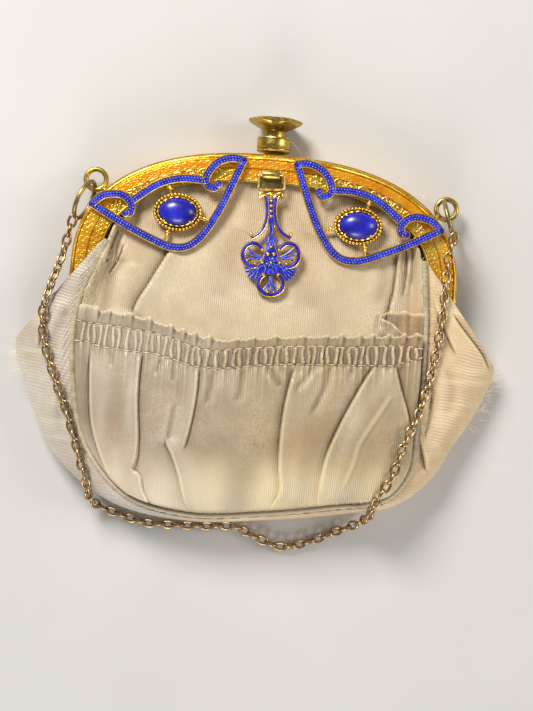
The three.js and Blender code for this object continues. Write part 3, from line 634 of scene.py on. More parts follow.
def folded(flat, folds):
    """Rise, painted shade, crests (wear and painted light) and painted sheen of the cloth at folds."""
    rise, crease_shade, crest_wear_and_light, painted_sheen = (np.zeros(flat.shape[:-1]) for _ in range(4))
    for line, lap, height, reach, depth in folds:
        off, share = along_line(flat, line)
        fade = smooth(0, 0.07, share) * (1 - smooth(0.84, 1, share))
        if lap:
            beyond = off * lap
            over = smooth(-0.3, 0.3, beyond)
            stands = height * hump(np.maximum(beyond, 0), 0, reach)
            under = np.exp(np.minimum(beyond, 0) / (0.9 * reach))
            rise += fade * (over * stands - (1 - over) * depth * under)
            # Painted shade at the fold and under the lap; a pale crest and a painted sheen on the lap.
            crease_shade += fade * (0.8 * hump(beyond, -0.32, 0.36) + 0.42 * (1 - over) * under)
            crest_wear_and_light += fade * 0.36 * hump(beyond, 0.5, 0.3)
            painted_sheen += fade * over * hump(beyond / reach, 1.1, 0.9)
        else:
            # Painted shade in a valley with pale shoulders beside it, and a pale line along a ridge.
            valley = hump(off, 0, reach)
            shoulders = hump(np.abs(off), 1.9 * reach, reach)
            rise += fade * depth * (0.35 * shoulders - valley)
            crease_shade += fade * max(depth, 0) * 0.5 * valley
            crest_wear_and_light += fade * (max(-depth, 0) * 0.9 * valley + max(depth, 0) * 0.2 * shoulders)
    painted_sheen *= 0.1 + 0.34 * smooth(-0.5, 0.8, rumple(flat * (1.4, 0.5), 15, 27))
    return rise, np.clip(crease_shade, 0, 1), np.clip(crest_wear_and_light, 0, 0.8), np.clip(painted_sheen, 0, 0.7)


def mesh_grid(columns, rows, start=-1.0):
    return np.meshgrid(np.linspace(start, 1, columns), np.linspace(0, 1, rows), indexing="ij")


def cloth_piece(name, sheet, thickness, material, node_name, marks):
    """A closed cloth with its marks; both faces of the wall carry the same ones."""
    stood_for = [node_name] if node_name else []
    made = piece(name, [(cloth_wall(sheet, thickness), 0)], [material], stands_for=stood_for)
    for mark, values in marks.items():
        store(made, mark, np.concatenate([values.ravel(), values.ravel()]))
    return made


print("folds ready")

# %% [markdown]
# The front panel is spanned between the mouth of the frame and the seam, and swells out over what the
# purse holds. Two large folds run down from the frame: a long one that laps over at the left, and a
# double one at the right, with small creases beside them. The gathered stitching under the frame adds
# short puckers at the top.

# %% Front panel
PANEL_SEAM_GAP = 0.95
PANEL_TOP_Z = 10.2
PANEL_CROWN = 8.5
SWELL_POWER = 2.4
PUCKER_PITCH = 5.3
CLOTH = 0.7


def blended(first, second, share):
    return first + (second - first) * share[..., None]


def panel(seam, gap, tuck, across, down):
    """Points of a panel: across from -1 to 1, down from the mouth (0) to the foot (1)."""
    share = (across + 1) / 2
    left = beside(seam, FOOT_FROM * down, gap)
    right = beside(seam, 1 - (1 - FOOT_TO) * down, gap)
    foot = beside(seam, FOOT_FROM + (FOOT_TO - FOOT_FROM) * share, gap)
    corners = beside(seam, np.array([0, 1, FOOT_FROM, FOOT_TO]), gap)
    side = np.abs(across)
    inset = TUCKED_INSET + (FREE_INSET - TUCKED_INSET) * smooth(0.68, 0.8, side)
    rim = arch_point(MOUTH_TURN + (1 - 2 * MOUTH_TURN) * share, inset)
    corner = np.where(share[..., None] < 0.5, corners[0], corners[1])
    height = tuck + (corner[..., 2] - tuck) * smooth(0.85, 0.97, side)
    mouth = blended(np.concatenate([rim, height[..., None]], -1), corner, smooth(0.92, 1, side))
    heads = blended(corners[0], corners[1], share)
    feet = blended(corners[2], corners[3], share)
    return blended(left, right, share) + blended(mouth, foot, down) - blended(heads, feet, down)


def front_sheet(across, down):
    point = panel(FRONT_SEAM, PANEL_SEAM_GAP, PANEL_TOP_Z, across, down)
    point[..., 2] += PANEL_CROWN * (1 - np.abs(across) ** SWELL_POWER) * np.sin(np.pi * down**SWELL_POWER)
    return point


PANEL_FOLDS = [
    ([(-30.6, 8.6), (-34, 2), (-37.4, -4.8), (-40.6, -11), (-42, -17)], -1, 1.3, 3.4, 1.5),
    ([(-47, 4), (-50.6, -6), (-51.6, -18)], 0, 0, 2.2, 0.8),
    ([(-49.4, 13), (-50.4, 10.4), (-51.9, 4.4), (-52.6, 1)], 1, 0.6, 0.9, 0.9),
    ([(-47.4, 12), (-48.8, 7.6), (-49.2, 2)], 0, 0, 0.7, 0.5),
    ([(-51.4, 13), (-53, 7), (-54.6, 1.6)], 0, 0, 0.6, -0.45),
    ([(-46.4, 8), (-47.6, 3.4), (-51, -3)], -1, 0.45, 0.9, 0.4),
    ([(44.8, 16), (45.2, 11), (44.9, 6)], 0, 0, 0.5, 0.5),
    ([(46, 16.5), (46.4, 12), (46.2, 7)], 0, 0, 0.5, 0.5),
    ([(48.6, 15), (49.2, 9), (49, 1)], 0, 0, 0.7, 0.5),
    ([(43.6, 15.5), (43.9, 8.1), (43.4, -0.1), (42.2, -7.4), (41.4, -14)], -1, 1.1, 2.2, 1.4),
    ([(46.8, 15), (47.4, 9), (47.2, 3), (46.4, -3)], -1, 0.7, 1.3, 0.8),
    ([(38.6, 8), (39.4, 2), (38.6, -6)], 0, 0, 1.7, 0.45),
    ([(-9, 17), (-12, 4), (-14.6, -10)], 0, 0, 4.6, 0.35),
    ([(16, 17), (14.6, 2), (15.6, -12)], 0, 0, 4.4, 0.3),
]
across, down = mesh_grid(176, 150)
front = front_sheet(across, down)
rise, crease_shade, crest_wear_and_light, painted_sheen = folded(front[..., :2], PANEL_FOLDS)
pucker = np.sin(front[..., 0] * 2 * np.pi / PUCKER_PITCH + 1.5 * np.sin(front[..., 0] * 0.31))
gather = hump(down, 0, 0.11) * smooth(0, 0.05, down) * (1 - smooth(0.6, 0.9, np.abs(across)))
calm = smooth(0, 0.08, down) * (1 - np.abs(across) ** 6) * (1 - smooth(0.9, 1, down))
front[..., 2] += rise * smooth(0, 0.04, 1 - np.abs(across)) + 0.28 * pucker * gather
front[..., 2] += 0.22 * rumple(front[..., :2] * (1, 0.45), 14, 3) * calm
front_panel = cloth_piece("front_panel_satin", front, CLOTH, front_satin, "front_panel", {
    "weft": front[..., 0], "crease_shade": crease_shade, "crest_wear_and_light": 0.5 * crest_wear_and_light, "painted_sheen": 0.6 * painted_sheen,
})
print("front panel reaches", front.reshape(-1, 3).max(axis=0).round(1).tolist())

# %% [markdown]
# The pocket is a second layer with a drawn casing along its top. Two lines of stitches hold the casing,
# and a thread inside gathers it in narrow ribs with wide hollows between. Above the upper line a ruffled
# header stands up, and below the lower one the gathers run out in folds of several lengths. The three
# lines are read from the picture in millimetres. Every column of the sheet finds where it crosses them,
# so the rows of the mesh follow the stitches.

# %% Pocket with its gathered casing
POCKET_EDGE = [
    (-61, -14), (-54.6, -14.5), (-48.1, -14.6), (-40.9, -15.4), (-32.6, -17), (-26, -18.8),
    (-17.4, -20.7), (-9.5, -21.1), (-5.5, -20.3), (2.4, -19.3), (10.8, -18.3), (22.2, -17.2),
    (31.5, -16.6), (42.6, -15.7), (54, -14.2),
]
UPPER_SEAM = [
    (-61, -17.9), (-54.3, -18.7), (-46.1, -19.2), (-35.1, -20.2), (-26, -21.9), (-21.6, -23.8),
    (-17.4, -24.5), (-13, -24.6), (-4.9, -23.2), (5.2, -21.9), (18.8, -20.5), (30.1, -20.2),
    (38.2, -19), (48.6, -18.2), (54, -18.8),
]
LOWER_SEAM = [
    (-61, -24.6), (-54.6, -25), (-50.9, -26.2), (-41.9, -26.7), (-33.2, -27), (-26.3, -28.5),
    (-20.5, -30.1), (-10.8, -30.1), (-6.2, -29.3), (2.7, -27.8), (12.9, -26.8), (23.5, -26.2),
    (43.3, -25.1), (48, -23.6), (54, -21.4),
]
POCKET_LIFT = 2.4
POCKET_PUFF = 1.6
POCKET_REACH = 0.992
POCKET_CLOTH = 0.55
CREST_COUNT = 90
POCKET_FOLDS = [
    ([(-54.4, -26.5), (-52.9, -45.4), (-51.7, -52.3), (-48.4, -61.5), (-43.7, -70.2), (-36, -77)],
     -1, 0.6, 3.4, 1.1),
    ([(-37.2, -26.5), (-37.5, -33.3), (-37.3, -42.4), (-36.1, -55.4), (-36.4, -61.6), (-38, -66.2)],
     1, 0.85, 2.2, 1.0),
    ([(-38, -65), (-34.9, -66.6), (-33.8, -71.3), (-32, -74.8), (-30.4, -78)], 1, 0.6, 1.6, 0.5),
    ([(-18.9, -28.5), (-18.4, -35.8), (-18.8, -42.7), (-20.2, -52.7), (-21.6, -58)], 1, 0.6, 1.8, 0.7),
    ([(-25.3, -43), (-26, -50.2), (-26.7, -57)], 0, 0, 0.8, 0.6),
    ([(-27.8, -54), (-24.5, -60), (-22.2, -66), (-21.1, -70.3), (-18.6, -78)], -1, 0.65, 2.8, 0.9),
    ([(12.8, -26.8), (10.7, -36.8), (9.7, -46.7), (9.8, -59.8), (10.8, -68.4), (7.4, -76)],
     -1, 0.95, 3, 1.2),
    ([(39.1, -24.4), (37.1, -27.4), (29.6, -42.6), (24.8, -55.7), (23.7, -64.9), (23.4, -75)],
     -1, 0.95, 2.9, 1.2),
    ([(23.3, -26.4), (23.2, -30.3), (22.1, -35.2), (18, -45)], 0, 0, 1.1, 0.7),
    ([(45, -34), (41.1, -40.6), (35, -51.6), (33.9, -57), (30, -69)], 0, 0, 0.7, -0.3),
    ([(45.4, -25), (46.6, -29.4), (50.1, -39.2), (51.8, -45)], 1, 0.8, 2.4, 1.4),
    ([(-13, -30.4), (-14.1, -36.2), (-15.4, -43)], 0, 0, 1.1, 0.6),
    ([(-4.4, -30), (-4.6, -36.9), (-5.6, -41)], 0, 0, 1.1, 0.55),
    ([(3.4, -28), (6.3, -31.7), (8.4, -35)], 0, 0, 1.0, 0.6),
    ([(18.6, -26.4), (16.4, -30.9), (13, -35.6)], 0, 0, 1.0, 0.6),
    ([(-47.3, -27), (-47, -32.5)], 0, 0, 0.9, 0.4),
    ([(-30.6, -27.6), (-32.4, -34)], 0, 0, 1.0, 0.45),
    ([(-27.2, -28.6), (-26.4, -36)], 0, 0, 0.9, 0.45),
    ([(31, -26), (29.8, -31)], 0, 0, 0.9, 0.45),
]


def crossed(run, shares, line):
    """The share down the panel at which each column of points crosses a line."""
    gap = np.interp(run[..., 0], *np.transpose(line)) - run[..., 1]
    return np.array([np.interp(0, column, shares) for column in gap])[:, None]


def waves(place, low, high, seed):
    """A turn that grows by one circle at each of its crests, which are set at uneven steps."""
    steps = np.random.default_rng(seed).uniform(low, high, CREST_COUNT)
    crests = -62 + np.cumsum(steps)
    return np.interp(place, crests, 2 * np.pi * np.arange(CREST_COUNT)), crests


columns = np.linspace(-1, 1, 400)
pocket_rows = np.concatenate([np.linspace(0, 1, 15)[:-1], np.linspace(1, 2, 25)[:-1], np.linspace(2, 3, 78)])
shares = np.linspace(0.25, 0.75, 160)
run = front_sheet(*np.meshgrid(POCKET_REACH * columns, shares, indexing="ij"))
edge, upper, lower = (crossed(run, shares, line) for line in (POCKET_EDGE, UPPER_SEAM, LOWER_SEAM))
across, row = np.meshgrid(columns, pocket_rows, indexing="ij")
header, casing, body = (np.clip(row - start, 0, 1) for start in (0, 1, 2))
down = edge + (upper - edge) * header + (lower - upper) * casing + (POCKET_REACH - lower) * body
pocket = front_sheet(POCKET_REACH * across, down)
puff = np.sin(np.pi * (down - edge) / (POCKET_REACH - edge))
pocket[..., 2] += POCKET_LIFT + POCKET_PUFF * puff * (1 - across**4)
rise, crease_shade, crest_wear_and_light, painted_sheen = folded(pocket[..., :2], POCKET_FOLDS)
inside = smooth(0, 0.05, 1 - np.abs(across))
print("pocket grid of", pocket.shape[0], "by", pocket.shape[1])

# %% [markdown]
# Ribs, header and folds are now added to the smooth sheet. A rib is a narrow crest that closes at both
# lines of stitches, and below the casing each one fades over its own length. The ruffles of the header
# are sharp and far apart, with painted shade on one side of each and a painted highlight on its top. The
# hem of the header is a pale rolled edge. Painted shade lies beside the ribs, in the hollows between them
# and along the stitches, and a painted highlight lightens the cloth towards the foot. The top of each rib
# is pale, partly wear and partly painted highlight.

# %% Gathers of the pocket
SPECKS = [(2.2, -53.8), (1.1, -53.5), (4.4, -54), (-15.2, -33.6), (24.8, -60.2)]
RIB_STEPS = (1.5, 3.1)
RIB_FADES = (1.2, 6.5)
RIB_RISE = 1.05
RUFFLE_STEPS = (3.6, 9.2)
RUFFLE_SIZES = (0.4, 1.15)
RUFFLE_RISE = 1.9
BODY_LENGTH = 47
FULL_TURN = 2 * np.pi
rib_place = pocket[..., 0] + 0.22 * np.sin(5 * row + 0.9 * pocket[..., 0])
rib_turn, rib_crests = waves(rib_place, *RIB_STEPS, 12)
rib = ((1 + np.cos(rib_turn)) / 2) ** 5
lengths = np.random.default_rng(4).uniform(*RIB_FADES, CREST_COUNT)
fade_mm = np.interp(pocket[..., 0], rib_crests, lengths)
in_casing = smooth(0.0, 0.12, casing) * (1 - smooth(0.9, 1.0, casing))
run_out = smooth(0, 0.02, body) * np.exp(-(BODY_LENGTH * body) / fade_mm) * (row >= 2)
ruffle_turn, ruffle_crests = waves(pocket[..., 0], *RUFFLE_STEPS, 31)
ruffle_sizes = np.random.default_rng(9).uniform(*RUFFLE_SIZES, CREST_COUNT)
ruffle = np.interp(pocket[..., 0], ruffle_crests, ruffle_sizes) * ((1 + np.cos(ruffle_turn)) / 2) ** 4
tight = 0.45 + 0.55 * smooth(-38, -6, pocket[..., 0])
stands = (1 - header) ** 0.8
pinch = hump(row, 1, 0.07) + hump(row, 2, 0.05)
small = 0.5 + 0.5 * np.sin(3.1 * rib_turn + 1)
pocket[..., 2] += rise * smooth(0.0, 0.05, body) * inside
pocket[..., 2] += (RIB_RISE * tight * rib + 0.16 * small) * in_casing + 0.7 * rib * run_out - 0.3 * pinch
pocket[..., 2] += stands * (0.7 + RUFFLE_RISE * ruffle + 0.22 * rib)
pocket[..., 1] += stands**2 * (1.25 * ruffle + 0.2 * np.sin(1.7 * rib_turn))
pocket[..., 0] += stands * ruffle * 0.3
pocket[..., 2] += 0.3 * rumple(pocket[..., :2] * (1, 0.3), 11, 8) * smooth(0, 0.2, body) * (1 - across**6)
hem = hump(header, 0, 0.13)
# Painted shade beside each rib, on one side of each ruffle and in the hollows of the casing.
shade = hump(np.mod(rib_turn, FULL_TURN), 1.5, 0.7)
ruffle_shade = hump(np.mod(ruffle_turn, FULL_TURN), 0.62, 0.26) * stands * (1 - hem)
hollow = (1 - rib) ** 2 * in_casing
body_share = smooth(0, 0.04, body)
# A painted highlight towards the foot, where the cloth turns down to the seam.
low_light = smooth(0.46, 0.84, body) * (1 - 0.6 * smooth(0.97, 1, body))
low_light *= 0.62 + 0.38 * np.clip(rumple(pocket[..., :2] * (1, 0.3), 15, 15), -1, 1)
specks = sum(np.exp(-((pocket[..., 0] - x) ** 2 + (pocket[..., 1] - y) ** 2) / 0.1) for x, y in SPECKS)
# The shade mark also holds the real specks; the pale mark holds the hem and painted highlights.
pocket_piece = cloth_piece("pocket_satin", pocket, POCKET_CLOTH, pocket_satin, "pocket", {
    "weft": pocket[..., 0],
    "crease_shade": np.clip(
        crease_shade * body_share + 0.5 * tight * hollow + 0.34 * shade * in_casing + 0.3 * shade * run_out
        + 0.7 * specks + 0.95 * ruffle_shade + (0.2 + 0.3 * shade) * stands * (1 - ruffle) * (1 - hem)
        + 0.15 * pinch, 0, 1),
    "crest_wear_and_light": np.clip(
        crest_wear_and_light * body_share + 0.55 * rib**3 * in_casing + 0.3 * rib * run_out + 0.85 * hem
        + 0.35 * ruffle**3 * stands + 0.95 * low_light, 0, 0.85),
    "painted_sheen": painted_sheen * body_share,
})
print("pocket from", pocket.reshape(-1, 3).min(axis=0).round(1).tolist())

# %% [markdown]
# At the right end the header is turned over: a strip of it lies flat behind, is folded at the left and
# comes back across itself as a small triangle. It is one sheet, drawn between a top and a bottom line
# that both turn back. It lies on the front panel, so its height starts from the nearest points of that
# cloth.

# %% Turned end of the header
FLAP_TOP = [(53.4, -7.6), (48.3, -6.8), (44.6, -7.2), (40.4, -7.9), (39.2, -9), (43, -11.4), (48, -14.4)]
FLAP_FOOT = [(53.2, -17.8), (49.5, -17.9), (45.5, -18), (40, -18), (38, -17.8), (41, -18.2), (46, -18.4)]
FLAP_LIFT = [0.45, 0.5, 0.5, 0.6, 1.2, 1.9, 2]
FLAP_CLOTH = 0.45

panel_points = kdtree.KDTree(front.size // 3)
for index, point in enumerate(front.reshape(-1, 3)):
    panel_points.insert((point[0], point[1], 0), index)
panel_points.balance()


def panel_height(flat):
    """Height of the front panel under flat points."""
    heights = front.reshape(-1, 3)[:, 2]
    found = [heights[panel_points.find((x, y, 0))[1]] for x, y in np.reshape(flat, (-1, 2))]
    return np.array(found).reshape(np.shape(flat)[:-1])


along, down = mesh_grid(90, 26, start=0.0)
stops = np.linspace(0, 1, len(FLAP_LIFT))
top, foot = (
    np.stack([np.interp(along, stops, axis) for axis in np.transpose(line)], -1)
    for line in (FLAP_TOP, FLAP_FOOT)
)
flat = blended(top, foot, down)
flat[..., 1] += 0.3 * np.sin(31 * along + 1) * (1 - down) ** 2
flutter = np.sin(43 * along)
flap_lift = np.interp(along, stops, FLAP_LIFT) * (1 - 0.45 * smooth(0.5, 1, down))
flap_lift += 0.25 * flutter * (1 - down)
flap = np.concatenate([flat, (panel_height(flat) + flap_lift + FLAP_CLOTH)[..., None]], -1)
turned_over = hump(along, 0.66, 0.03)
flap_hem = hump(down, 0, 0.07)
# Painted shade on the fold and the flutter; a pale hem and a painted highlight on the turned fold.
flap_piece = cloth_piece("header_flap_satin", flap, FLAP_CLOTH, pocket_satin, None, {
    "weft": flap[..., 0],
    "crease_shade": np.clip(0.34 * hump(along, 0.45, 0.16) + 0.24 * smooth(0, 1, flutter), 0, 1),
    "crest_wear_and_light": np.clip(0.85 * flap_hem + 0.5 * turned_over, 0, 0.85),
})
print("flap is", np.ptp(flap[..., 0]).round(1), "mm wide")

# %% [markdown]
# The gusset is one long strip that runs round the sides and foot. At the sides it spreads out in two flat
# wings, folded along their outer edge, with a few pressed pleats that start at the seam. Its satin is
# lighter than the front, with pale streaks that are partly wear and partly painted sheen. Its ribs are
# wider and wander a little, and the seam draws it in short puckers.

# %% Gusset with its wings
GUSSET_SEAM_GAP = 0.95
BACK_SEAM_GAP = 0.4
WING_PINCH = 2.7
WING_RIB_PITCH = 1.05


def gusset_sheet(along, around):
    front = beside(FRONT_SEAM, along, -GUSSET_SEAM_GAP) - (0, 0, GUSSET_SEAM_GAP)
    back = beside(BACK_SEAM, along, -BACK_SEAM_GAP)
    wing = through(WING_EDGE, along)
    reach = np.sin((1 - np.abs(2 * around - 1)) * np.pi / 2)
    wide = smooth(4, 22, np.hypot(front[..., 0] - wing[..., 0], front[..., 1] - wing[..., 1]))
    drop = np.maximum(1 - reach ** (2 + 2 * wide), 0) ** (0.5 + 0.4 * wide)
    front_z = wing[..., 2] + (front[..., 2] - wing[..., 2]) * drop
    ground_z = wing[..., 2] + (BACK_FLAT_Z - wing[..., 2]) * np.sqrt(np.maximum(1 - reach**2.2, 0))
    hem = 1 - smooth(0, 0.12, np.minimum(along, 1 - along))
    pinched = front_z - WING_PINCH * np.sqrt(np.maximum(1 - reach**6, 0))
    back_z = ground_z + (pinched - ground_z) * hem * smooth(0.58, 0.78, reach)
    near = around < 0.5
    start = np.where(near[..., None], front, back)
    flat = start + (wing - start) * reach[..., None]
    return np.concatenate([flat[..., :2], np.where(near, front_z, back_z)[..., None]], -1), reach, wide


GUSSET_FOLDS = [
    ([(-64, -3), (-68.5, -11), (-71.5, -21), (-72.2, -31)], 1, 0.55, 2.4, 0.5),
    ([(-62.5, -14), (-66.5, -24), (-68.6, -36)], 0, 0, 1.8, 0.5),
    ([(-61.5, -40), (-63.4, -48), (-62.4, -57)], 0, 0, 1.5, 0.45),
    ([(56, -2), (60.5, -11), (65.6, -20.5)], -1, 0.6, 2.4, 0.55),
    ([(56.2, -22), (58.4, -31), (58.2, -42), (56.2, -50)], -1, 0.7, 2.1, 0.8),
    ([(62.4, -24), (64.6, -32), (63.4, -41)], 0, 0, 1.7, 0.5),
]
GUSSET_PLEATS = [
    ([(54.6, -43.6), (55.6, -48.6), (57.2, -53.3), (58.9, -59.5)], -1, 0.8, 3, 1.7),
    ([(-62.6, 0), (-66.4, -6.6), (-69.6, -11.4)], 1, 0.4, 1.5, 0.5),
    ([(62.6, -6.6), (64.7, -9.4), (69.7, -14.9), (73.8, -19.4), (76.2, -23.2), (77, -25)], 1, 0.5, 2.2, 0.5),
]
along, around = mesh_grid(330, 66, start=0.0)
gusset, reach, wide = gusset_sheet(along, around)
rise, crease_shade, crest_wear_and_light, painted_sheen = folded(gusset[..., :2], GUSSET_FOLDS)
pleat_rise, pleat_shade, pleat_wear_and_light, _ = folded(gusset[..., :2], GUSSET_PLEATS)
upper = 1 - smooth(0.42, 0.5, around)
spread = wide * smooth(0.06, 0.2, reach) * (1 - smooth(0.86, 1, reach)) * upper
draw = np.sin(2 * np.pi * along * 74 + 2 * np.sin(along * 31)) * hump(reach, 0, 0.22)
gusset[..., 2] += (rise + 0.35 * rumple(gusset[..., :2] * (0.6, 1), 13, 5)) * spread
gusset[..., 2] += 0.17 * draw * upper * smooth(0.0, 0.08, reach) * (0.35 + 0.65 * wide)
held = upper * smooth(0.04, 0.12, reach) * (1 - smooth(0.86, 0.98, reach))
gusset[..., 2] += pleat_rise * held
# Pale streaks on the wings: partly wear, partly a painted sheen.
sheen_and_wear = smooth(0.0, 1.0, rumple(gusset[..., :2] * (0.12, 2.4), 9, 21)) * spread
wander = 0.32 * rumple(gusset[..., :2], 8, 33)
# Painted shade in the folds and pleats; pale crests and painted sheen where the wings spread.
gusset_piece = cloth_piece("gusset_satin", gusset, CLOTH, gusset_satin, "gusset", {
    "weft": (gusset[..., 1] + 0.12 * gusset[..., 0] + wander) * RIB_PITCH / WING_RIB_PITCH,
    "crease_shade": np.clip(crease_shade * spread + 1.3 * pleat_shade * held, 0, 1),
    "crest_wear_and_light": np.clip(crest_wear_and_light * spread + pleat_wear_and_light * held + 0.45 * sheen_and_wear, 0, 0.8),
    "painted_sheen": np.clip(0.5 * painted_sheen * spread + 0.25 * sheen_and_wear, 0, 0.8),
})
print("gusset spans", np.ptp(gusset[..., 0]).round(1), "mm")

# %% [markdown]
# The back panel lies on the ground and is nearly flat. Only its mouth lifts, where it is tucked in the
# frame.

# %% Back panel
BACK_TUCK_Z = 4.3
across, down = mesh_grid(96, 86)
back = panel(BACK_SEAM, BACK_SEAM_GAP, BACK_TUCK_Z, across, down)
tuck = panel(BACK_SEAM, BACK_SEAM_GAP, BACK_TUCK_Z, across, 0 * down)[..., 2]
back[..., 2] = tuck + (BACK_FLAT_Z - tuck) * smooth(0.02, 0.28, down)
slack = smooth(0.3, 0.45, down) * (1 - smooth(0.85, 1, down)) * (1 - across**6)
back[..., 2] += 0.16 * (1 + rumple(back[..., :2] * (1, 0.5), 18, 9)) * slack + 0.09
back_panel = cloth_piece("back_panel_satin", back, 2 * BACK_FLAT_Z, front_satin, "back_panel", {
    "weft": back[..., 0], "crease_shade": 0 * across, "crest_wear_and_light": 0 * across,
})
print("back panel lowest at", round(float(back[..., 2].min()) - BACK_FLAT_Z, 2), "mm")

# %% [markdown]
# A corded piping covers the front seam. It is a strip of the same satin rolled round a cord, which has
# faded to a grey green with paler worn patches. Towards the foot it is painted paler, a painted highlight.
# The cloth wrinkles over the cord at every stitch, so the tube swells and narrows a little.

# %% Piping
PIPING_RADIUS = 1.05
piping_share = np.linspace(0, 1, 900)
piping_path = through(FRONT_SEAM, piping_share)
piping_size = 1 + 0.055 * np.sin(piping_share * 1700) + 0.05 * np.sin(piping_share * 613 + 1)
piping_size -= 0.25 * smooth(0.3, 0.42, piping_share) * (1 - smooth(0.6, 0.75, piping_share))
cord_finish, tree, shader, where = finish("piping_cloth", 0.62)
tone = ramp(tree, noise(tree, where, 260, 4), (0.3, colour(146, 136, 108)), (0.7, colour(190, 176, 144)))
worn_tone = ramp(tree, noise(tree, where, 90, 3), (0.5, grey(0)), (0.75, grey(0.6)))
tone = mixed(tree, worn_tone, tone, colour(208, 190, 158))
# Painted highlight: the piping turns paler towards the foot.
height = node(tree, "ShaderNodeSeparateXYZ", {"Vector": where}).outputs["Y"]
painted_foot_light = ramp(tree, sum_of(tree, height, -1 / TINT_SPAN, "MULTIPLY"), (0.2, grey(0)), (0.4, grey(0.8)))
tone = mixed(tree, painted_foot_light, tone, colour(216, 199, 168))
plug(tree, shader, {"Base Color": tone, "Sheen Weight": 0.2})
bumped(tree, shader, noise(tree, where, 1500, 2), 0.5, 0.0003)
piece(
    "piping_roll",
    [(swept(piping_path, circle(PIPING_RADIUS, 14), scale=piping_size), 0)],
    [cord_finish], stands_for=["piping"],
)
print("piping is", round(reach_along(piping_path)[-1]), "mm long")

# %% [markdown]
# The gilding is worn: rich yellow gold with browner hollows and paler, rubbed edges. One maker gives all
# the metals of the purse, from bright gilt to the dark bronze of the chain. Its colour runs through three
# tones by a cloudy noise, the hollows are darkened by their own geometry, and fine scratches roughen it.

# %% Metals


def metal(name, tones, rough, scratch=0.25, grain=900):
    """A metal with wear in three tones: hollow, body and rubbed edge."""
    material, tree, shader, where = finish(name, rough, 1.0)
    hollow, body, edge = (colour(*tone) for tone in tones)
    cloud = noise(tree, where, 160, 5, 0.65)
    face = ramp(tree, cloud, (0.3, hollow), (0.48, body), (0.75, edge))
    point = node(tree, "ShaderNodeNewGeometry").outputs["Pointiness"]
    rubbed = ramp(tree, point, (0.5, grey(0)), (0.56, grey(0.7)))
    sunk = ramp(tree, point, (0.44, grey(0.75)), (0.5, grey(0)))
    face = mixed(tree, sunk, mixed(tree, rubbed, face, edge), hollow)
    scratches = noise(tree, where, grain, 3, 0.7)
    dull = ramp(tree, scratches, (0.3, grey(rough - 0.1)), (0.7, grey(rough + 0.14)))
    plug(tree, shader, {"Base Color": face, "Roughness": dull})
    bumped(tree, shader, scratches, scratch, 0.00012)
    return material


gilt = metal("worn_gilt", ((150, 96, 14), (222, 164, 44), (246, 206, 104)), 0.3)
pale_gilt = metal("pale_gilt", ((128, 92, 28), (206, 164, 74), (240, 210, 138)), 0.3)
aged_brass = metal("aged_brass", ((104, 84, 28), (164, 137, 58), (212, 187, 106)), 0.34, 0.4)
dark_brass = metal("dark_brass", ((52, 46, 26), (112, 98, 58), (186, 166, 110)), 0.36, 0.4)
chain_bronze = metal("chain_bronze", ((40, 29, 18), (108, 84, 54), (200, 170, 126)), 0.3, 0.35)
print("five metals ready")

# %% [markdown]
# The front of the frame is a pressed band: a rolled rim, a wide band of orange lacquer over stamped
# scrolls, and an inner edge. It is made as one skin: a profile of many points is carried along the arch,
# and the stamped scrolls lift its points a tenth of a millimetre. The lacquer's share is stored on the
# points.

# %% Front of the frame
FRAME_FRONT_Z = 13.3
PARTING_Z = 7.75
PARTING_GAP = 0.3
RIM_WALL = 1.2
PLATE = 1.3
FRAME_LEG = 3.5
BAND_Z = FRAME_FRONT_Z - 0.2


def front_profile():
    """Rows of (inset, inset on the legs, height, stamping) over the face and back round its inside."""
    rows = [(0, 0, 8.6, 0), (0, 0, 10.4, 0), (0, 0, 12.2, 0), (0.05, 0.05, 12.6, 0), (0.2, 0.2, 12.85, 0)]
    rows.append((0.36, 0.3, 12.7, 0))
    for step in np.linspace(0.08, 0.92, 9):
        rows.append((0.4 + 1.5 * step, 0.3 + 0.85 * step, 12.78 + 0.6 * np.sin(np.pi * step), 0))
    rows += [(1.96, 1.2, 12.6, 0), (2.1, 1.3, 12.66, 0), (2.25, 1.42, BAND_Z - 0.05, 0.3)]
    rows += [(2.4 + 2.3 * step, 1.6 + 2.9 * step, BAND_Z, 1) for step in np.linspace(0, 1, 14)]
    rows += [(4.86, 4.65, BAND_Z, 0.3), (4.98, 4.82, BAND_Z - 0.3, 0), (5.1, 5, BAND_Z - 0.38, 0)]
    rows += [(5.24, 5.18, BAND_Z - 0.3, 0)]
    rows += [(5.4 + 3.1 * step, 5.35 + 3.15 * step, BAND_Z, 1) for step in np.linspace(0, 1, 14)]
    under, parting = FRAME_FRONT_Z - PLATE, PARTING_Z + PARTING_GAP / 2
    edge = [
        (8.7, BAND_Z - 0.2), (8.85, BAND_Z), (9.1, BAND_Z + 0.08), (9.4, BAND_Z), (FRAME_BAND, BAND_Z - 0.4),
        (FRAME_BAND, under), (RIM_WALL, under), (RIM_WALL, parting), (0, parting),
    ]
    rows += [(inset, inset, height, 0) for inset, height in edge]
    return np.array(rows)


def arch_stations(count, leg):
    """Points, outward vectors and lengths along the arch, with straight legs below its feet."""
    turns = even_turns(0, 1, count)
    spot, out = arch_point(turns, 0), arch_outward(turns)
    drops = np.linspace(leg, 0, 14, endpoint=False)[:, None] * (0, -1)
    spot = np.concatenate([spot[0] + drops, spot, spot[-1] + drops[::-1]])
    out = np.concatenate([np.repeat(out[:1], 14, 0), out, np.repeat(out[-1:], 14, 0)])
    turns = np.concatenate([np.zeros(14), turns, np.ones(14)])
    return spot, out, turns, reach_along(spot)


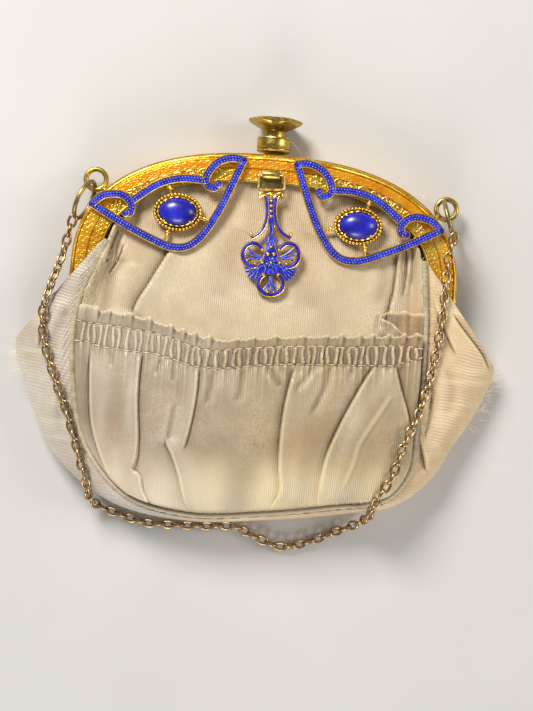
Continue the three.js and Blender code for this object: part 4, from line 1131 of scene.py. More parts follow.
def stamped(length, inset):
    """Height of the stamped scrolls, from 0 to 1: spirals of leaves with a bead between."""
    place = 2 * np.pi * length / 2.6
    lane = 2 * np.pi * inset / 1.7
    scroll = np.sin(place + 1.9 * np.sin(lane)) * np.cos(lane + 0.8 * np.sin(place / 2))
    leaf = np.sin(2.1 * place - 1.3 * lane) * np.sin(1.5 * lane + 0.9 * place)
    return np.clip(0.5 + 0.42 * scroll + 0.33 * leaf, 0, 1)


profile = front_profile()
spot, out, turns, length = arch_stations(690, FRAME_LEG)
leg = 1 - smooth(0.1, 0.17, np.minimum(turns, 1 - turns))[:, None]
inset = profile[:, 0] + (profile[:, 1] - profile[:, 0]) * leg
height, share = (np.broadcast_to(column, inset.shape) for column in profile.T[2:])
stamp = stamped(length[:, None], inset)
rings = np.empty(inset.shape + (3,))
rings[..., :2] = spot[:, None] - out[:, None] * inset[..., None]
crown = 1 - smooth(12, 15, np.abs(spot[:, :1]))
bold = 0.22 * leg + 0.16 * (1 - leg) + 0.08 * (inset > 5.3) * (1 - leg)
rings[..., 2] = height + share * bold * (stamp - 0.5)
outer_lane = smooth(2.1 - 0.8 * leg, 2.4 - 0.8 * leg, inset) * (1 - smooth(4.6, 4.95, inset))
inner_lane = smooth(5.2, 5.45, inset) * (1 - smooth(8.3, 8.7, inset))
scroll_gold = smooth(0.62, 0.84, stamp)
lacquer = outer_lane * (1 - 0.35 * leg) * (1 - (0.65 + 0.35 * leg) * scroll_gold)
lacquer += inner_lane * (0.5 * leg + crown) * (1 - 0.7 * scroll_gold)
print("frame face:", rings.shape[0] * rings.shape[1], "points")

# %% [markdown]
# The lacquer is a clear orange varnish over the gold, so it stays a metal underneath, with a glossy coat.
# Two hinge ears hang from the feet, and a rolled strap at the middle holds the drop.

# %% Lacquer, ears and strap
frame_finish, tree, shader, where = finish("lacquered_gilt", 0.26, 1.0)
cloud = noise(tree, where, 170, 5, 0.65)
gold_tone = ramp(
    tree, cloud, (0.3, colour(226, 172, 36)), (0.5, colour(247, 203, 72)), (0.75, colour(255, 232, 136)),
)
orange_tone = ramp(
    tree, cloud, (0.3, colour(232, 134, 4)), (0.5, colour(250, 160, 12)), (0.75, colour(255, 188, 40)),
)
point = node(tree, "ShaderNodeNewGeometry").outputs["Pointiness"]
sunk = ramp(tree, point, (0.42, grey(0.6)), (0.49, grey(0)))
face = mixed(tree, painted(tree, "lacquer"), gold_tone, orange_tone)
verdigris = ramp(tree, noise(tree, where, 330, 3), (0.72, grey(0)), (0.8, grey(0.4)))
face = mixed(tree, sunk, mixed(tree, verdigris, face, colour(140, 128, 52)), colour(176, 104, 8))
metal_share = ramp(tree, painted(tree, "lacquer"), (0.1, grey(0.92)), (0.8, grey(0.45)))
grain = noise(tree, where, 1300, 3, 0.7)
plug(tree, shader, {
    "Base Color": face, "Metallic": metal_share, "Coat Weight": 0.35, "Coat Roughness": 0.15,
    "Roughness": ramp(tree, grain, (0.3, grey(0.2)), (0.7, grey(0.42))),
})
bumped(tree, shader, grain, 0.22, 0.0001)

RIVET_Y, RIVET_Z = -2.15, 5.2
EAR_HALF_LENGTH = 1.75
EAR_HALF_DEPTH = 1.9
BACK_EAR_X, BACK_EAR_END_X = 60.4, 62.1
STRAP_Y, STRAP_Z = 34.5, 14.2
STRAP_HALF = 2.85


def rounded_plate(x_range, centre, half_length, half_depth, power=5.0):
    """A small plate across X with rounded corners."""
    turn = round_turns(28)
    wide, high = np.cos(turn), np.sin(turn)
    edge = np.stack([
        half_length * np.sign(wide) * np.abs(wide) ** (2 / power),
        half_depth * np.sign(high) * np.abs(high) ** (2 / power),
    ], -1)
    rings = [np.column_stack([np.full(28, x), edge * size + centre]) for x, size in x_range]
    return rings_joined(np.array(rings))


def ears(near, far, low, high, top):
    """The two hinge ears of one half of the frame."""
    plates = []
    for side in (-1, 1):
        spans = [(near, 0.9), (near + 0.15, 1), (far - 0.15, 1), (far, 0.9)]
        middle = ((low + top) / 2, (RIVET_Z - EAR_HALF_DEPTH + high) / 2)
        sizes = ((top - low) / 2, (high - RIVET_Z + EAR_HALF_DEPTH) / 2)
        plates.append((rounded_plate([(side * x, s) for x, s in spans], middle, *sizes), 1))
    return plates


def strap_roll():
    """The rolled strap: a tube with a bore for the bar of the bail."""
    turn = round_turns(40)
    half_rows = [(-STRAP_HALF, 1.0), (-STRAP_HALF, 1.36), (-STRAP_HALF + 0.2, 1.45)]
    rows = half_rows + [(-x, radius) for x, radius in half_rows[::-1]]
    rings = [
        np.column_stack([np.full(40, x), STRAP_Y + radius * np.cos(turn), STRAP_Z + radius * np.sin(turn)])
        for x, radius in rows
    ]
    return rings_joined(np.array(rings), closed=True)


tongue = rounded_plate([(-3.5, 0.95), (-3.4, 1), (3.4, 1), (3.5, 0.95)], (31.9, 13.0), 2.3, 0.36)
front_ears = ears(
    FRAME_HALF_WIDTH - RIM_WALL, FRAME_HALF_WIDTH,
    RIVET_Y - EAR_HALF_LENGTH, PARTING_Z + 1, RIVET_Y + EAR_HALF_LENGTH,
)
frame_face = piece(
    "frame_front_gilt",
    [(rings_joined(rings), 0), *front_ears, (strap_roll(), 1), (tongue, 2)],
    [frame_finish, aged_brass, dark_brass], stands_for=["frame_front"],
)
unlacquered = np.zeros(len(frame_face.data.vertices) - lacquer.size)
store(frame_face, "lacquer", np.concatenate([lacquer.ravel(), unlacquered]))
print("frame front:", len(frame_face.data.polygons), "faces")

# %% [markdown]
# What repeats is grown by Geometry Nodes. A path of points goes in, and a tree of nodes plants copies of
# a small form along it. The result is turned to a plain mesh, because only plain meshes leave Blender.
# The first tree plants round beads, which serve for the dots on the enamel and the bead rings of the
# settings.

# %% Growing pieces along paths


def growing_tree(name, **sizes):
    """An empty tree with named sizes and a finish, and its group input."""
    tree = bpy.data.node_groups.new(name, "GeometryNodeTree")
    tree.interface.new_socket("Path", in_out="INPUT", socket_type="NodeSocketGeometry")
    for size, value in sizes.items():
        socket = tree.interface.new_socket(size, in_out="INPUT", socket_type="NodeSocketFloat")
        socket.default_value = value
    tree.interface.new_socket("Finish", in_out="INPUT", socket_type="NodeSocketMaterial")
    tree.interface.new_socket("Piece", in_out="OUTPUT", socket_type="NodeSocketGeometry")
    return tree, tree.nodes.new("NodeGroupInput").outputs


def path_curve(tree, given):
    return node(tree, "GeometryNodeMeshToCurve", {"Mesh": given["Path"]}).outputs[0]


def along_path(tree, **settings):
    """A rotation that lays the X of a form along the path."""
    tangent = node(tree, "GeometryNodeInputTangent").outputs[0]
    facing = node(tree, "FunctionNodeAlignRotationToVector", {"Vector": tangent}, axis="X", **settings)
    return facing.outputs[0]


def wire_along(tree, curve, radius, sides=6):
    """A round wire along a curve."""
    section = node(tree, "GeometryNodeCurvePrimitiveCircle", {"Resolution": sides, "Radius": radius})
    return node(tree, "GeometryNodeCurveToMesh", {
        "Curve": curve, "Profile Curve": section.outputs[0], "Fill Caps": True,
    }).outputs[0]


def close_tree(tree, given, geometry):
    """Ends a tree: real geometry, smooth, with its finish."""
    real = node(tree, "GeometryNodeRealizeInstances", {"Geometry": geometry}).outputs[0]
    soft = node(tree, "GeometryNodeSetShadeSmooth", {"Geometry": real}).outputs[0]
    finished = node(tree, "GeometryNodeSetMaterial", {"Geometry": soft, "Material": given["Finish"]})
    node(tree, "NodeGroupOutput", {"Piece": finished.outputs[0]})


def plant(tree, given, form, **placing):
    """Ends a tree with one form at every pitch of its path."""
    spots = node(tree, "GeometryNodeResampleCurve", {
        "Curve": path_curve(tree, given), "Length": given["Pitch"],
    }, mode="LENGTH").outputs[0]
    copies = node(tree, "GeometryNodeInstanceOnPoints", {"Points": spots, "Instance": form, **placing})
    close_tree(tree, given, copies.outputs[0])


def grow(name, paths, tree, material, **sizes):
    """Runs a tree on paths of points (each closed where its last point is its first) and gives an object."""
    points, edges = [], []
    for path in paths:
        start = len(points)
        loop = len(path) > 2 and np.allclose(path[0], path[-1])
        points += in_world(path[:-1] if loop else path).tolist()
        edges += [(i, i + 1) for i in range(start, len(points) - 1)]
        if loop:
            edges.append((len(points) - 1, start))
    guide_mesh = bpy.data.meshes.new(name + "_path")
    guide_mesh.from_pydata(points, edges, [])
    guide = linked(name + "_path", guide_mesh)
    grown = guide.modifiers.new("grow", "NODES")
    grown.node_group = tree
    for item in tree.interface.items_tree:
        if item.in_out == "INPUT" and item.name in sizes:
            grown[item.identifier] = sizes[item.name]
        elif item.in_out == "INPUT" and item.name == "Finish":
            grown[item.identifier] = material
    mesh = bpy.data.meshes.new_from_object(guide.evaluated_get(bpy.context.evaluated_depsgraph_get()))
    mesh.name = name
    bpy.data.objects.remove(guide)
    bpy.data.meshes.remove(guide_mesh)
    return linked(name, mesh)


bead_tree, given = growing_tree("beads_on_a_path", Pitch=0.001, Radius=0.0004, Flatness=1.0)
bead = node(bead_tree, "GeometryNodeMeshUVSphere", {"Segments": 8, "Rings": 5, "Radius": given["Radius"]})
press = node(bead_tree, "ShaderNodeCombineXYZ", {"X": 1.0, "Y": 1.0, "Z": given["Flatness"]})
plant(bead_tree, given, bead.outputs[0], Scale=press.outputs[0])
print("bead tree has", len(bead_tree.nodes), "nodes")

# %% [markdown]
# Along the inner edge of the arch runs a row of small scallops: half rings that open inwards, each round
# a dot. A second tree makes one scallop from an arc and a bead, and sets it on the arch, turned with the
# path.

# %% Scallops on the arch
scallop_tree, given = growing_tree("scallops_on_a_path", Pitch=0.0041, Radius=0.0017, Wire=0.00034)
bow = node(scallop_tree, "GeometryNodeCurveArc", {
    "Resolution": 11, "Radius": given["Radius"],
    "Start Angle": math.pi * 0.97, "Sweep Angle": math.pi * 1.06,
}, mode="RADIUS")
hoop = wire_along(scallop_tree, bow.outputs[0], given["Wire"])
dot_radius = sum_of(scallop_tree, given["Radius"], 0.34, "MULTIPLY")
dot = node(scallop_tree, "GeometryNodeMeshUVSphere", {"Segments": 8, "Rings": 5, "Radius": dot_radius})
dot_drop = sum_of(scallop_tree, dot_radius, -0.9, "MULTIPLY")
lowered = node(scallop_tree, "ShaderNodeCombineXYZ", {"Y": dot_drop})
moved = node(scallop_tree, "GeometryNodeTransform", {
    "Geometry": dot.outputs[0], "Translation": lowered.outputs[0],
})
scallop = node(scallop_tree, "GeometryNodeJoinGeometry")
for form in (hoop, moved.outputs[0]):
    scallop_tree.links.new(form, scallop.inputs[0])
plant(scallop_tree, given, scallop.outputs[0], Rotation=along_path(scallop_tree, pivot_axis="Z"))


def arch_path(start, end, inset, z, count=160):
    turns = even_turns(start, end, count, inset)
    return np.column_stack([arch_point(turns, inset), np.full(count, z)])


scallop_paths = [arch_path(0.2, 0.425, 6.75, 13.2), arch_path(0.575, 0.8, 6.75, 13.2)]
scallops = grow("arch_scallops", scallop_paths, scallop_tree, pale_gilt)
dressed(scallops)
print("scallops:", len(scallops.data.polygons), "faces")

# %% [markdown]
# The back half of the frame is plain: a smooth shell with a flange, the collar of the push clasp on top,
# and two soldered eyes for the chain. The collar is a turned ring, ribbed like the rim of a thimble.

# %% Back of the frame
FRAME_BACK_Z = 1.9
BACK_PROFILE = [
    (0, 2.6), (0.12, 2.25), (0.35, 2.0), (0.7, FRAME_BACK_Z), (3, FRAME_BACK_Z), (6, FRAME_BACK_Z),
    (9.1, FRAME_BACK_Z), (9.45, 2.05), (FRAME_BAND, 2.35), (FRAME_BAND, 3.2), (RIM_WALL, 3.2),
    (RIM_WALL, 7.6), (0.1, 7.6), (0, 7.5), (0, 5),
]
EYE_TURN = {-1: 0.19, 1: 0.182}
EYE_FOOT = 1.5
EYE_RING_RADIUS = 3.4
EYE_WIRE_RADIUS = 0.85
EYE_Z = 6


def arch_skin(profile, count):
    turns = even_turns(0, 1, count)
    spot, out = arch_point(turns, 0), arch_outward(turns)
    rows = np.asarray(profile, float)
    rings = np.empty((count, len(rows), 3))
    rings[..., :2] = spot[:, None] - out[:, None] * rows[None, :, :1]
    rings[..., 2] = rows[:, 1]
    return rings_joined(rings)


def eye_place(side):
    """The foot and the centre of a chain eye; side is -1 for the left."""
    turn = np.array(EYE_TURN[side])
    foot, out = arch_point(turn, 0), arch_outward(turn)
    centre = foot + out * (EYE_FOOT + EYE_RING_RADIUS + 0.4)
    mirror = (side, 1)
    return np.append(foot * mirror, EYE_Z), np.append(centre * mirror, EYE_Z), np.append(out * mirror, 0)


def ring(centre, across, up, radius, wire, steps=56, sides=14):
    """A ring of round wire in the plane of two unit vectors."""
    turn = round_turns(steps)[:, None]
    path = np.asarray(centre) + radius * (np.cos(turn) * across + np.sin(turn) * up)
    axis = np.cross(across, up)
    return swept(path, circle(wire, sides), closed=True, up=axis)


def rod(start, end, radii, sides=16):
    """A straight round rod; radii are given along it, with equal steps."""
    start, end = np.asarray(start, float), np.asarray(end, float)
    path = start + np.linspace(0, 1, len(radii))[:, None] * (end - start)
    run = end - start
    up = (0, 0, 1) if abs(run[2]) < 0.8 * np.linalg.norm(run) else (0, 1, 0)
    return swept(path, circle(1, sides), up=up, scale=radii)


back_shells = [(arch_skin(BACK_PROFILE, 300), 0)]
for side in (-1, 1):
    foot, centre, out = eye_place(side)
    across = np.cross(out, (0, 0, 1))
    back_shells.append((ring(centre, out, across, EYE_RING_RADIUS, EYE_WIRE_RADIUS), 1))
    stalk = rod(foot - 0.5 * out, foot + (EYE_FOOT + 0.5) * out, [1.25, 1.2, 1.0, 0.85, 0.85])
    back_shells.append((stalk, 1))
COLLAR = [
    (0.01, 42.6), (5.1, 42.6), (5.45, 42.75), (5.6, 43.0), (5.6, 43.3), (5.42, 43.45), (5.42, 43.6),
    (5.6, 43.8), (5.62, 45.2), (5.6, 46.6), (5.44, 46.75), (5.44, 46.85), (5.58, 47.0), (5.5, 47.3),
    (5.3, 47.4), (4.1, 47.4), (3.95, 47.25), (3.9, 43.4), (0.01, 43.4),
]
collar = turned(COLLAR, 72, "Y", (0, 0, PARTING_Z))
post = rounded_plate([(-3, 0.95), (-2.9, 1), (2.9, 1), (3, 0.95)], (41.5, 5.0), 1.5, 2.4, 8)
back_ears = ears(BACK_EAR_X, BACK_EAR_END_X, RIVET_Y - EAR_HALF_LENGTH, RIVET_Z + EAR_HALF_DEPTH, 1.5)
frame_rear = piece(
    "frame_back_gilt",
    [*back_shells, (collar, 1), (post, 1), *back_ears],
    [gilt, aged_brass], stands_for=["frame_back"],
)
print("frame back:", len(frame_rear.data.polygons), "faces")

# %% [markdown]
# The clasp's knob is a turned dish with six flats filed on its edge. The turned radius is simply kept
# below the distance of each flat, which gives the flats and the curves where they meet the dish. Two
# rivets with domed heads join the halves of the frame.

# %% Knob and rivets
KNOB_FLAT = 7.75
KNOB = [
    (0.01, 45.9), (3.4, 45.9), (3.6, 46.1), (3.6, 49.2), (3.75, 49.6), (4.3, 50.1), (5.4, 50.65),
    (6.6, 51.25), (7.7, 51.8), (8.6, 52.3), (9.0, 52.6), (9.2, 52.95), (9.2, 53.25), (8.9, 53.45),
    (8.2, 53.5), (7.4, 53.3), (6.6, 53.1), (4, 52.96), (2, 52.92), (0.01, 52.9),
]
knob_rows = np.array(KNOB)
knob_turn = round_turns(96)
flat_off = (knob_turn + np.pi / 6) % (np.pi / 3) - np.pi / 6
knob_radius = np.minimum(knob_rows[:, :1], KNOB_FLAT / np.cos(flat_off)[None])
knob_rings = np.stack([
    knob_radius * np.sin(knob_turn),
    np.broadcast_to(knob_rows[:, 1:], knob_radius.shape),
    PARTING_Z + knob_radius * np.cos(knob_turn),
], -1)
piece(
    "clasp_knob_brass", [(rings_joined(knob_rings), 0)], [aged_brass],
    body="clasp_knob", stands_for=["clasp_knob"],
)
SIDES = ((-1, "left"), (1, "right"))
RIVET_HEAD = [(0.01, 0), (1.2, 0.1), (1.75, 0.35), (1.9, 0.8), (0.95, 0.8)]
RIVET_OVER = 1.1
start, end = BACK_EAR_X - RIVET_OVER, FRAME_HALF_WIDTH + RIVET_OVER
for side, side_name in SIDES:
    rows = [(radius, side * (start + depth)) for radius, depth in RIVET_HEAD]
    rows += [(radius, side * (end - depth)) for radius, depth in RIVET_HEAD[::-1]]
    rivet = turned(rows, 32, "X", (0, RIVET_Y, RIVET_Z))
    rivet_name = f"hinge_rivet_{side_name}"
    piece(rivet_name + "_gilt", [(rivet, 0)], [gilt], stands_for=[rivet_name])
print("knob and rivets made")

# %% [markdown]
# The blue of the mounts is glass enamel, fired into gilt troughs. It is deep and glossy and a little
# cloudy. Its raised dots are painted paler, a painted highlight. The stones are polished domes of a blue
# glass that imitates lapis.

# %% Enamel and stone


def glassy(name, tones, rough, cloud_scale, coat=0.8):
    """A glossy blue in three tones: deep, middle and light."""
    material, tree, shader, where = finish(name, rough)
    deep, middle, light = (colour(*tone) for tone in tones)
    cloud = noise(tree, where, cloud_scale, 5, 0.6)
    face = ramp(tree, cloud, (0.32, deep), (0.5, middle), (0.7, light))
    pits = ramp(tree, noise(tree, where, 1900, 2), (0.62, grey(0)), (0.72, grey(0.45)))
    dull = ramp(tree, noise(tree, where, 700, 3), (0.3, grey(rough)), (0.75, grey(rough + 0.16)))
    plug(tree, shader, {
        "Base Color": mixed(tree, pits, face, deep), "Roughness": dull,
        "Coat Weight": coat, "Coat Roughness": 0.11, "IOR": 1.52,
    })
    bumped(tree, shader, noise(tree, where, 1200, 2), 0.2, 0.0001)
    return material


blue_enamel = glassy("blue_enamel", ((12, 12, 112), (24, 28, 166), (52, 62, 206)), 0.2, 420)
# Paler enamel for the raised dots, a painted highlight, and for the veins of the drop, partly a highlight.
pale_enamel_and_highlight = glassy("pale_enamel_and_highlight", ((60, 70, 206), (104, 116, 226), (176, 182, 238)), 0.22, 900)
blue_stone = glassy("blue_stone", ((12, 9, 112), (24, 22, 166), (52, 56, 208)), 0.26, 190, 0.3)
print("blues ready")

# %% [markdown]
# Each mount is an open drawing of an eye in bands of paler gilt. A band is a trough: two thin walls with
# enamel between them, swept along a smooth line. The lines of the right mount are given about its stone,
# and the left mount is their mirror, shifted a little as on the purse.

# %% Bands of the mounts
MOUNT_X, MOUNT_Y, MOUNT_Z = 29.7, 19.9, 13.8
BAND_SLIDE = {-1: -1.1, 1: 0}
MOUNT_BANDS = {
    "under": [(-21.4, 18.5), (-18.3, 10.5), (-14.8, 1.9), (-11.5, -4.4), (-7.9, -9.1), (-4.4, -11.3),
              (-0.7, -11.7), (3.2, -10.9), (14.7, -6), (27.1, 0.5)],
    "inner_curl": [
        (-21.4, 18.5), (-17.6, 19), (-13, 17.2), (-10, 13.3), (-9.7, 10.2), (-12.3, 8.7), (-14, 10.5),
    ],
    "outer_curl": [(27.1, 0.5), (23.4, 3.6), (17.8, 4.2), (14.4, 1.6), (14.4, -1.4), (16.2, -1.8)],
    "brow": [(-9.7, 11), (-1.6, 11), (5.9, 8.6), (14.1, 2.5)],
}
CORNERS = [(-21.4, 18.5), (27.1, 0.5)]
CURL_ENDS = [(-13.8, 10.2), (16.0, -1.7)]


def drawn_line(points, spacing=0.22):
    """A flat line through points, evenly spaced."""
    points = np.asarray(points, float)
    guides = np.vstack([points[0], points, points[-1]])
    p0, p1, p2, p3, step = guides_at(guides, np.linspace(0, len(points) - 1, 40 * len(points)))
    line = eased(p1, p2, (p2 - p0) / 2, (p3 - p1) / 2, step)
    reach = reach_along(line)
    even = np.linspace(0, reach[-1], max(6, int(reach[-1] / spacing)))
    return np.column_stack([np.interp(even, reach, line[:, axis]) for axis in (0, 1)])


def trough(half, bottom, floor, top, wall):
    """Section of a gilt trough, and of the enamel in it."""
    left = [
        (-half, bottom), (-half, top - 0.6 * wall), (-half + 0.35 * wall, top),
        (-half + 0.85 * wall, top - 0.03), (-half + wall, floor),
    ]
    inner = half - wall - 0.02
    glass = [(-inner, floor + 0.01), (-inner, top - 0.14), (-0.5 * inner, top - 0.08), (0, top - 0.06),
             (0.5 * inner, top - 0.08), (inner, top - 0.14), (inner, floor + 0.01)]
    return left + [(-side, height) for side, height in left[::-1]], glass


def lifted(flat, height=0.0):
    return np.column_stack([flat, np.full(len(flat), height)])


def beside_flat(line, gap):
    """A flat line moved sideways by a gap."""
    run = run_of(lifted(line))
    return line + gap * np.column_stack([-run[:, 1], run[:, 0]])


BAND_GILT, BAND_GLASS = trough(1.4, 0, 1.05, 1.5, 0.46)
DISC_GILT = [(0.01, 0), (1.35, 0), (1.35, 1.25), (1.25, 1.45), (1.06, 1.42), (1.02, 1.05), (0.01, 1.05)]
DISC_GLASS = [(0.01, 1.06), (1.0, 1.06), (1.0, 1.3), (0.6, 1.38), (0.01, 1.4)]
TIP_GILT = [(0.01, 0), (1.35, 0), (1.35, 1.1), (1.25, 1.28), (1.0, 1.3), (0.01, 1.3)]
TIP_GLASS = [(0.01, 1.25), (1.08, 1.25), (1.06, 1.33), (0.8, 1.38), (0.01, 1.4)]


def mount_parts(side):
    """Gilt shells, enamel shells and dot lines of one mount, in millimetres of the purse."""
    stone = np.array([side * MOUNT_X, MOUNT_Y])
    gilt_shells, glass_shells, dot_lines = [], [], []
    for points in MOUNT_BANDS.values():
        line = drawn_line(np.asarray(points) * (side, 1)) + stone + (BAND_SLIDE[side], 0)
        gilt_shells.append((swept(lifted(line, MOUNT_Z), BAND_GILT), 2))
        glass_shells.append((swept(lifted(line, MOUNT_Z), BAND_GLASS), 0))
        for gap, skip in ((0.44, 2), (-0.44, 4)):
            dot_lines.append(lifted(beside_flat(line, gap)[skip:-2], MOUNT_Z + 1.34))
    ends = ((CORNERS, TIP_GILT, TIP_GLASS), (CURL_ENDS, DISC_GILT, DISC_GLASS))
    for places, metal_rows, glass_rows in ends:
        for x, y in places:
            place = (side * x + BAND_SLIDE[side] + stone[0], y + stone[1], MOUNT_Z + 0.03)
            gilt_shells.append((turned(metal_rows, 28, centre=place), 2))
            glass_shells.append((turned(glass_rows, 28, centre=place), 0))
    return gilt_shells, glass_shells, dot_lines


print("mount bands:", sum(len(drawn_line(points)) for points in MOUNT_BANDS.values()), "steps a side")

# %% [markdown]
# Each stone sits in an oval setting: a base with a ring of beads round it, a thin scalloped collar that
# is pressed over the stone, and four claws. Short pins with balls tie the setting to the bands.

# %% Settings and stones
SETTING = (8.1, 6.3)
STONE = (6.2, 4.5)
BASE_ROWS = [
    (0.01, 0), (0.93, 0), (0.985, 0.25), (1, 0.6), (0.97, 0.95), (0.9, 1.0), (0.83, 0.75), (0.01, 0.7),
]
WALL_ROWS = [(1.07, 0.7), (1.075, 1.6), (1.06, 2.1), (1.0, 2.25), (0.985, 2.1), (1.02, 1.5), (1.02, 0.7)]
CLAW_ROWS = [(1.1, 1.2), (1.06, 2.2), (0.98, 2.75), (0.88, 3.05)]
CLAW_SIZES = [1, 1, 0.9, 0.5]
CLAW_TURNS = (0.8, 2.35, 3.95, 5.5)
PINS = [
    ((2.4, 5.4), (3.6, 9.2), (2.9, 7.4)),
    ((-6.8, -1.3), (-12.6, -2.4), (-8.9, -1.6)),
    ((2.2, -5.2), (3.2, -10.9), (2.8, -7.0)),
]


def oval_path(half, height, count=121):
    turn = np.linspace(0, 2 * np.pi, count)
    return np.column_stack([half[0] * np.cos(turn), half[1] * np.sin(turn), np.full(count, height)])


def pressed_collar():
    """The thin wall round the stone, its top edge in small scallops that lean inwards."""
    turn = round_turns(144)
    scallop = np.abs(np.sin(9 * turn))
    rows = []
    for size, height in WALL_ROWS:
        lift = 0.34 * scallop * (height > 2)
        rows.append(np.column_stack([
            (STONE[0] * size + 0.1) * np.cos(turn), (STONE[1] * size + 0.1) * np.sin(turn), height + lift,
        ]))
    return rings_joined(np.array(rows), closed=True)


def setting_parts(side):
    stone = np.array([side * MOUNT_X, MOUNT_Y, MOUNT_Z])
    shells = [(turned(BASE_ROWS, 72, centre=stone, stretch=SETTING), 1)]
    points, faces = pressed_collar()
    shells.append(((points + stone, faces), 0))
    for turn in CLAW_TURNS:
        x, y = 1.03 * STONE[0] * math.cos(turn), 1.03 * STONE[1] * math.sin(turn)
        claw = np.array([(size * x, size * y, height) for size, height in CLAW_ROWS]) + stone
        shells.append((swept(claw, circle(0.42, 10), scale=CLAW_SIZES, up=(-y, x, 0)), 0))
    for start, end, joint in PINS:
        start, end, joint = (np.array([side * x, y, 0.72]) + stone for x, y in (start, end, joint))
        shells.append((rod(start, end + (BAND_SLIDE[side], 0, 0), [0.45] * 4, 12), 0))
        shells.append((ball(joint + (0, 0, 0.3), 0.85, 14), 0))
        shells.append((ball(joint + 0.62 * (end - joint) * (1, 1, 0) / 2.4 + (0, 0, 0.35), 0.6, 12), 0))
    beads = oval_path((SETTING[0] - 0.55, SETTING[1] - 0.55), 1.25) + stone
    return shells, beads


def cabochon(side):
    turn = np.linspace(0, np.pi / 2, 22)
    dome = [(math.cos(t) ** 0.92 + 1e-3, 0.6 + 3.3 * math.sin(t)) for t in turn]
    rows = [(0.01, 0), (0.97, 0), (1.0, 0.3)] + dome
    return turned(rows, 72, centre=(side * MOUNT_X, MOUNT_Y, MOUNT_Z + 1), stretch=STONE)


DOTS = {"Pitch": 0.00098, "Radius": 0.00027, "Flatness": 0.55}
BEADS = {"Pitch": 0.00118, "Radius": 0.00058, "Flatness": 1.0}
BEAD_FACES = 40
for side, side_name in SIDES:
    gilt_shells, glass_shells, dot_lines = mount_parts(side)
    setting_shells, bead_ring = setting_parts(side)
    piece(f"eye_mount_{side_name}_gilt", gilt_shells + setting_shells, [gilt, dark_brass, pale_gilt],
          stands_for=[f"eye_mount_{side_name}"])
    piece(f"eye_enamel_{side_name}_glass", glass_shells, [blue_enamel],
          stands_for=[f"eye_enamel_{side_name}"])
    dots = grow(f"enamel_dots_{side_name}", dot_lines, bead_tree, pale_enamel_and_highlight, **DOTS)
    dressed(dots)
    beads = grow(f"setting_beads_{side_name}", [bead_ring], bead_tree, gilt, **BEADS)
    dressed(beads)
    piece(f"cabochon_{side_name}_stone", [(cabochon(side), 0)], [blue_stone],
          stands_for=[f"cabochon_{side_name}"])
    dot_count, bead_count = (len(made.data.polygons) // BEAD_FACES for made in (dots, beads))
    print(side_name, "mount:", dot_count, "dots,", bead_count, "beads")

# %% [markdown]
# The drop hangs in the strap by a wire bail. It is an openwork leaf: a stem with two arms, a pair of open
# rings, two pleated fans and a third ring at its foot, all in blue enamel with gilt edges and gilt beads.
# It is drawn flat, down from the bar of its bail, and then tilted to lie on the cloth. It swings with its
# own body.

# %% Lines of the drop
DROP_TILT = math.radians(-5)
DROP_SKEW = math.radians(4)


def hung(shell):
    """A shell drawn flat in the drop's own millimetres, put where the drop hangs."""
    points, faces = shell
    x = points[:, 0] * math.cos(DROP_SKEW) - points[:, 1] * math.sin(DROP_SKEW)
    y = points[:, 0] * math.sin(DROP_SKEW) + points[:, 1] * math.cos(DROP_SKEW)
    z = points[:, 2]
    tilted_y = y * math.cos(DROP_TILT) - z * math.sin(DROP_TILT)
    tilted_z = y * math.sin(DROP_TILT) + z * math.cos(DROP_TILT)
    return np.column_stack([x, tilted_y + STRAP_Y, tilted_z + STRAP_Z]), faces


def plate(outline, low, high, soften=0.12):
    """A flat plate with a softened upper edge."""
    outline = np.asarray(outline, float)
    middle = outline.mean(axis=0)
    shrink = 1 - soften / np.linalg.norm(outline - middle, axis=1).mean()
    inner = middle + (outline - middle) * shrink
    rings = [lifted(outline, low), lifted(outline, high - 0.5 * soften), lifted(inner, high)]
    return rings_joined(np.array(rings))


def arc(centre, half, start, end, count=60):
    """Part of an oval, in degrees."""
    turn = np.radians(np.linspace(start, end, count))
    return np.column_stack([centre[0] + half[0] * np.cos(turn), centre[1] + half[1] * np.sin(turn)])


def fan(centre, reach, start, end, pleats):
    """A pleated fan: a flat sector whose top rises and falls, with a toothed outer edge."""
    turn = np.radians(np.linspace(start, end, pleats * 8 + 1))
    wave = np.cos(np.linspace(0, 2 * np.pi * pleats, pleats * 8 + 1))
    rows = []
    for share in (0.12, 0.45, 0.8, 1.0):
        radius = reach * share * (1 + 0.05 * wave * share)
        flat = np.column_stack([centre[0] + radius * np.cos(turn), centre[1] + radius * np.sin(turn)])
        rows.append(np.column_stack([flat, 0.62 - 0.15 * share + 0.17 * wave * share]))
    top = np.array(rows)
    under = top.copy()
    under[..., 2] = -0.4
    return rings_joined(np.concatenate([top, under[::-1]]).transpose(1, 0, 2))


DROP_BAND = trough(0.8, -0.55, 0.45, 0.86, 0.3)
gilt_parts, blue_parts = [], []


def draw_band(line, section=DROP_BAND):
    """Adds an enamelled band to the drop."""
    gilt_parts.append((hung(swept(lifted(line), section[0])), 0))
    blue_parts.append((hung(swept(lifted(line), section[1])), 0))


ARM = [(2.3, -6.9), (1.62, -8.2), (1.25, -11.6), (1.42, -14.6), (2.45, -17.7), (4.3, -19.9), (6.5, -21.1)]
for side in (-1, 1):
    arm = drawn_line(np.array(ARM) * (side, 1), 0.16)
    draw_band(arm, trough(0.66, -0.5, 0.42, 0.8, 0.27))
    opening = arc((5.85, -26.7), (3.3, 3.8), 152, -106) * (side, 1)
    draw_band(opening[::side])
draw_band(arc((0.05, -36.2), (4.1, 3.6), 122, 418, 80))
print("drop bands:", len(gilt_parts))

# %% [markdown]
# Between the bands lie flat fields of enamel with raised pale veins, partly paler enamel and partly painted
# highlight, and thin tendrils stand in the open rings. A star of small petals fills the middle. Each of
# these is a wire along a smooth line, drawn once for each side.

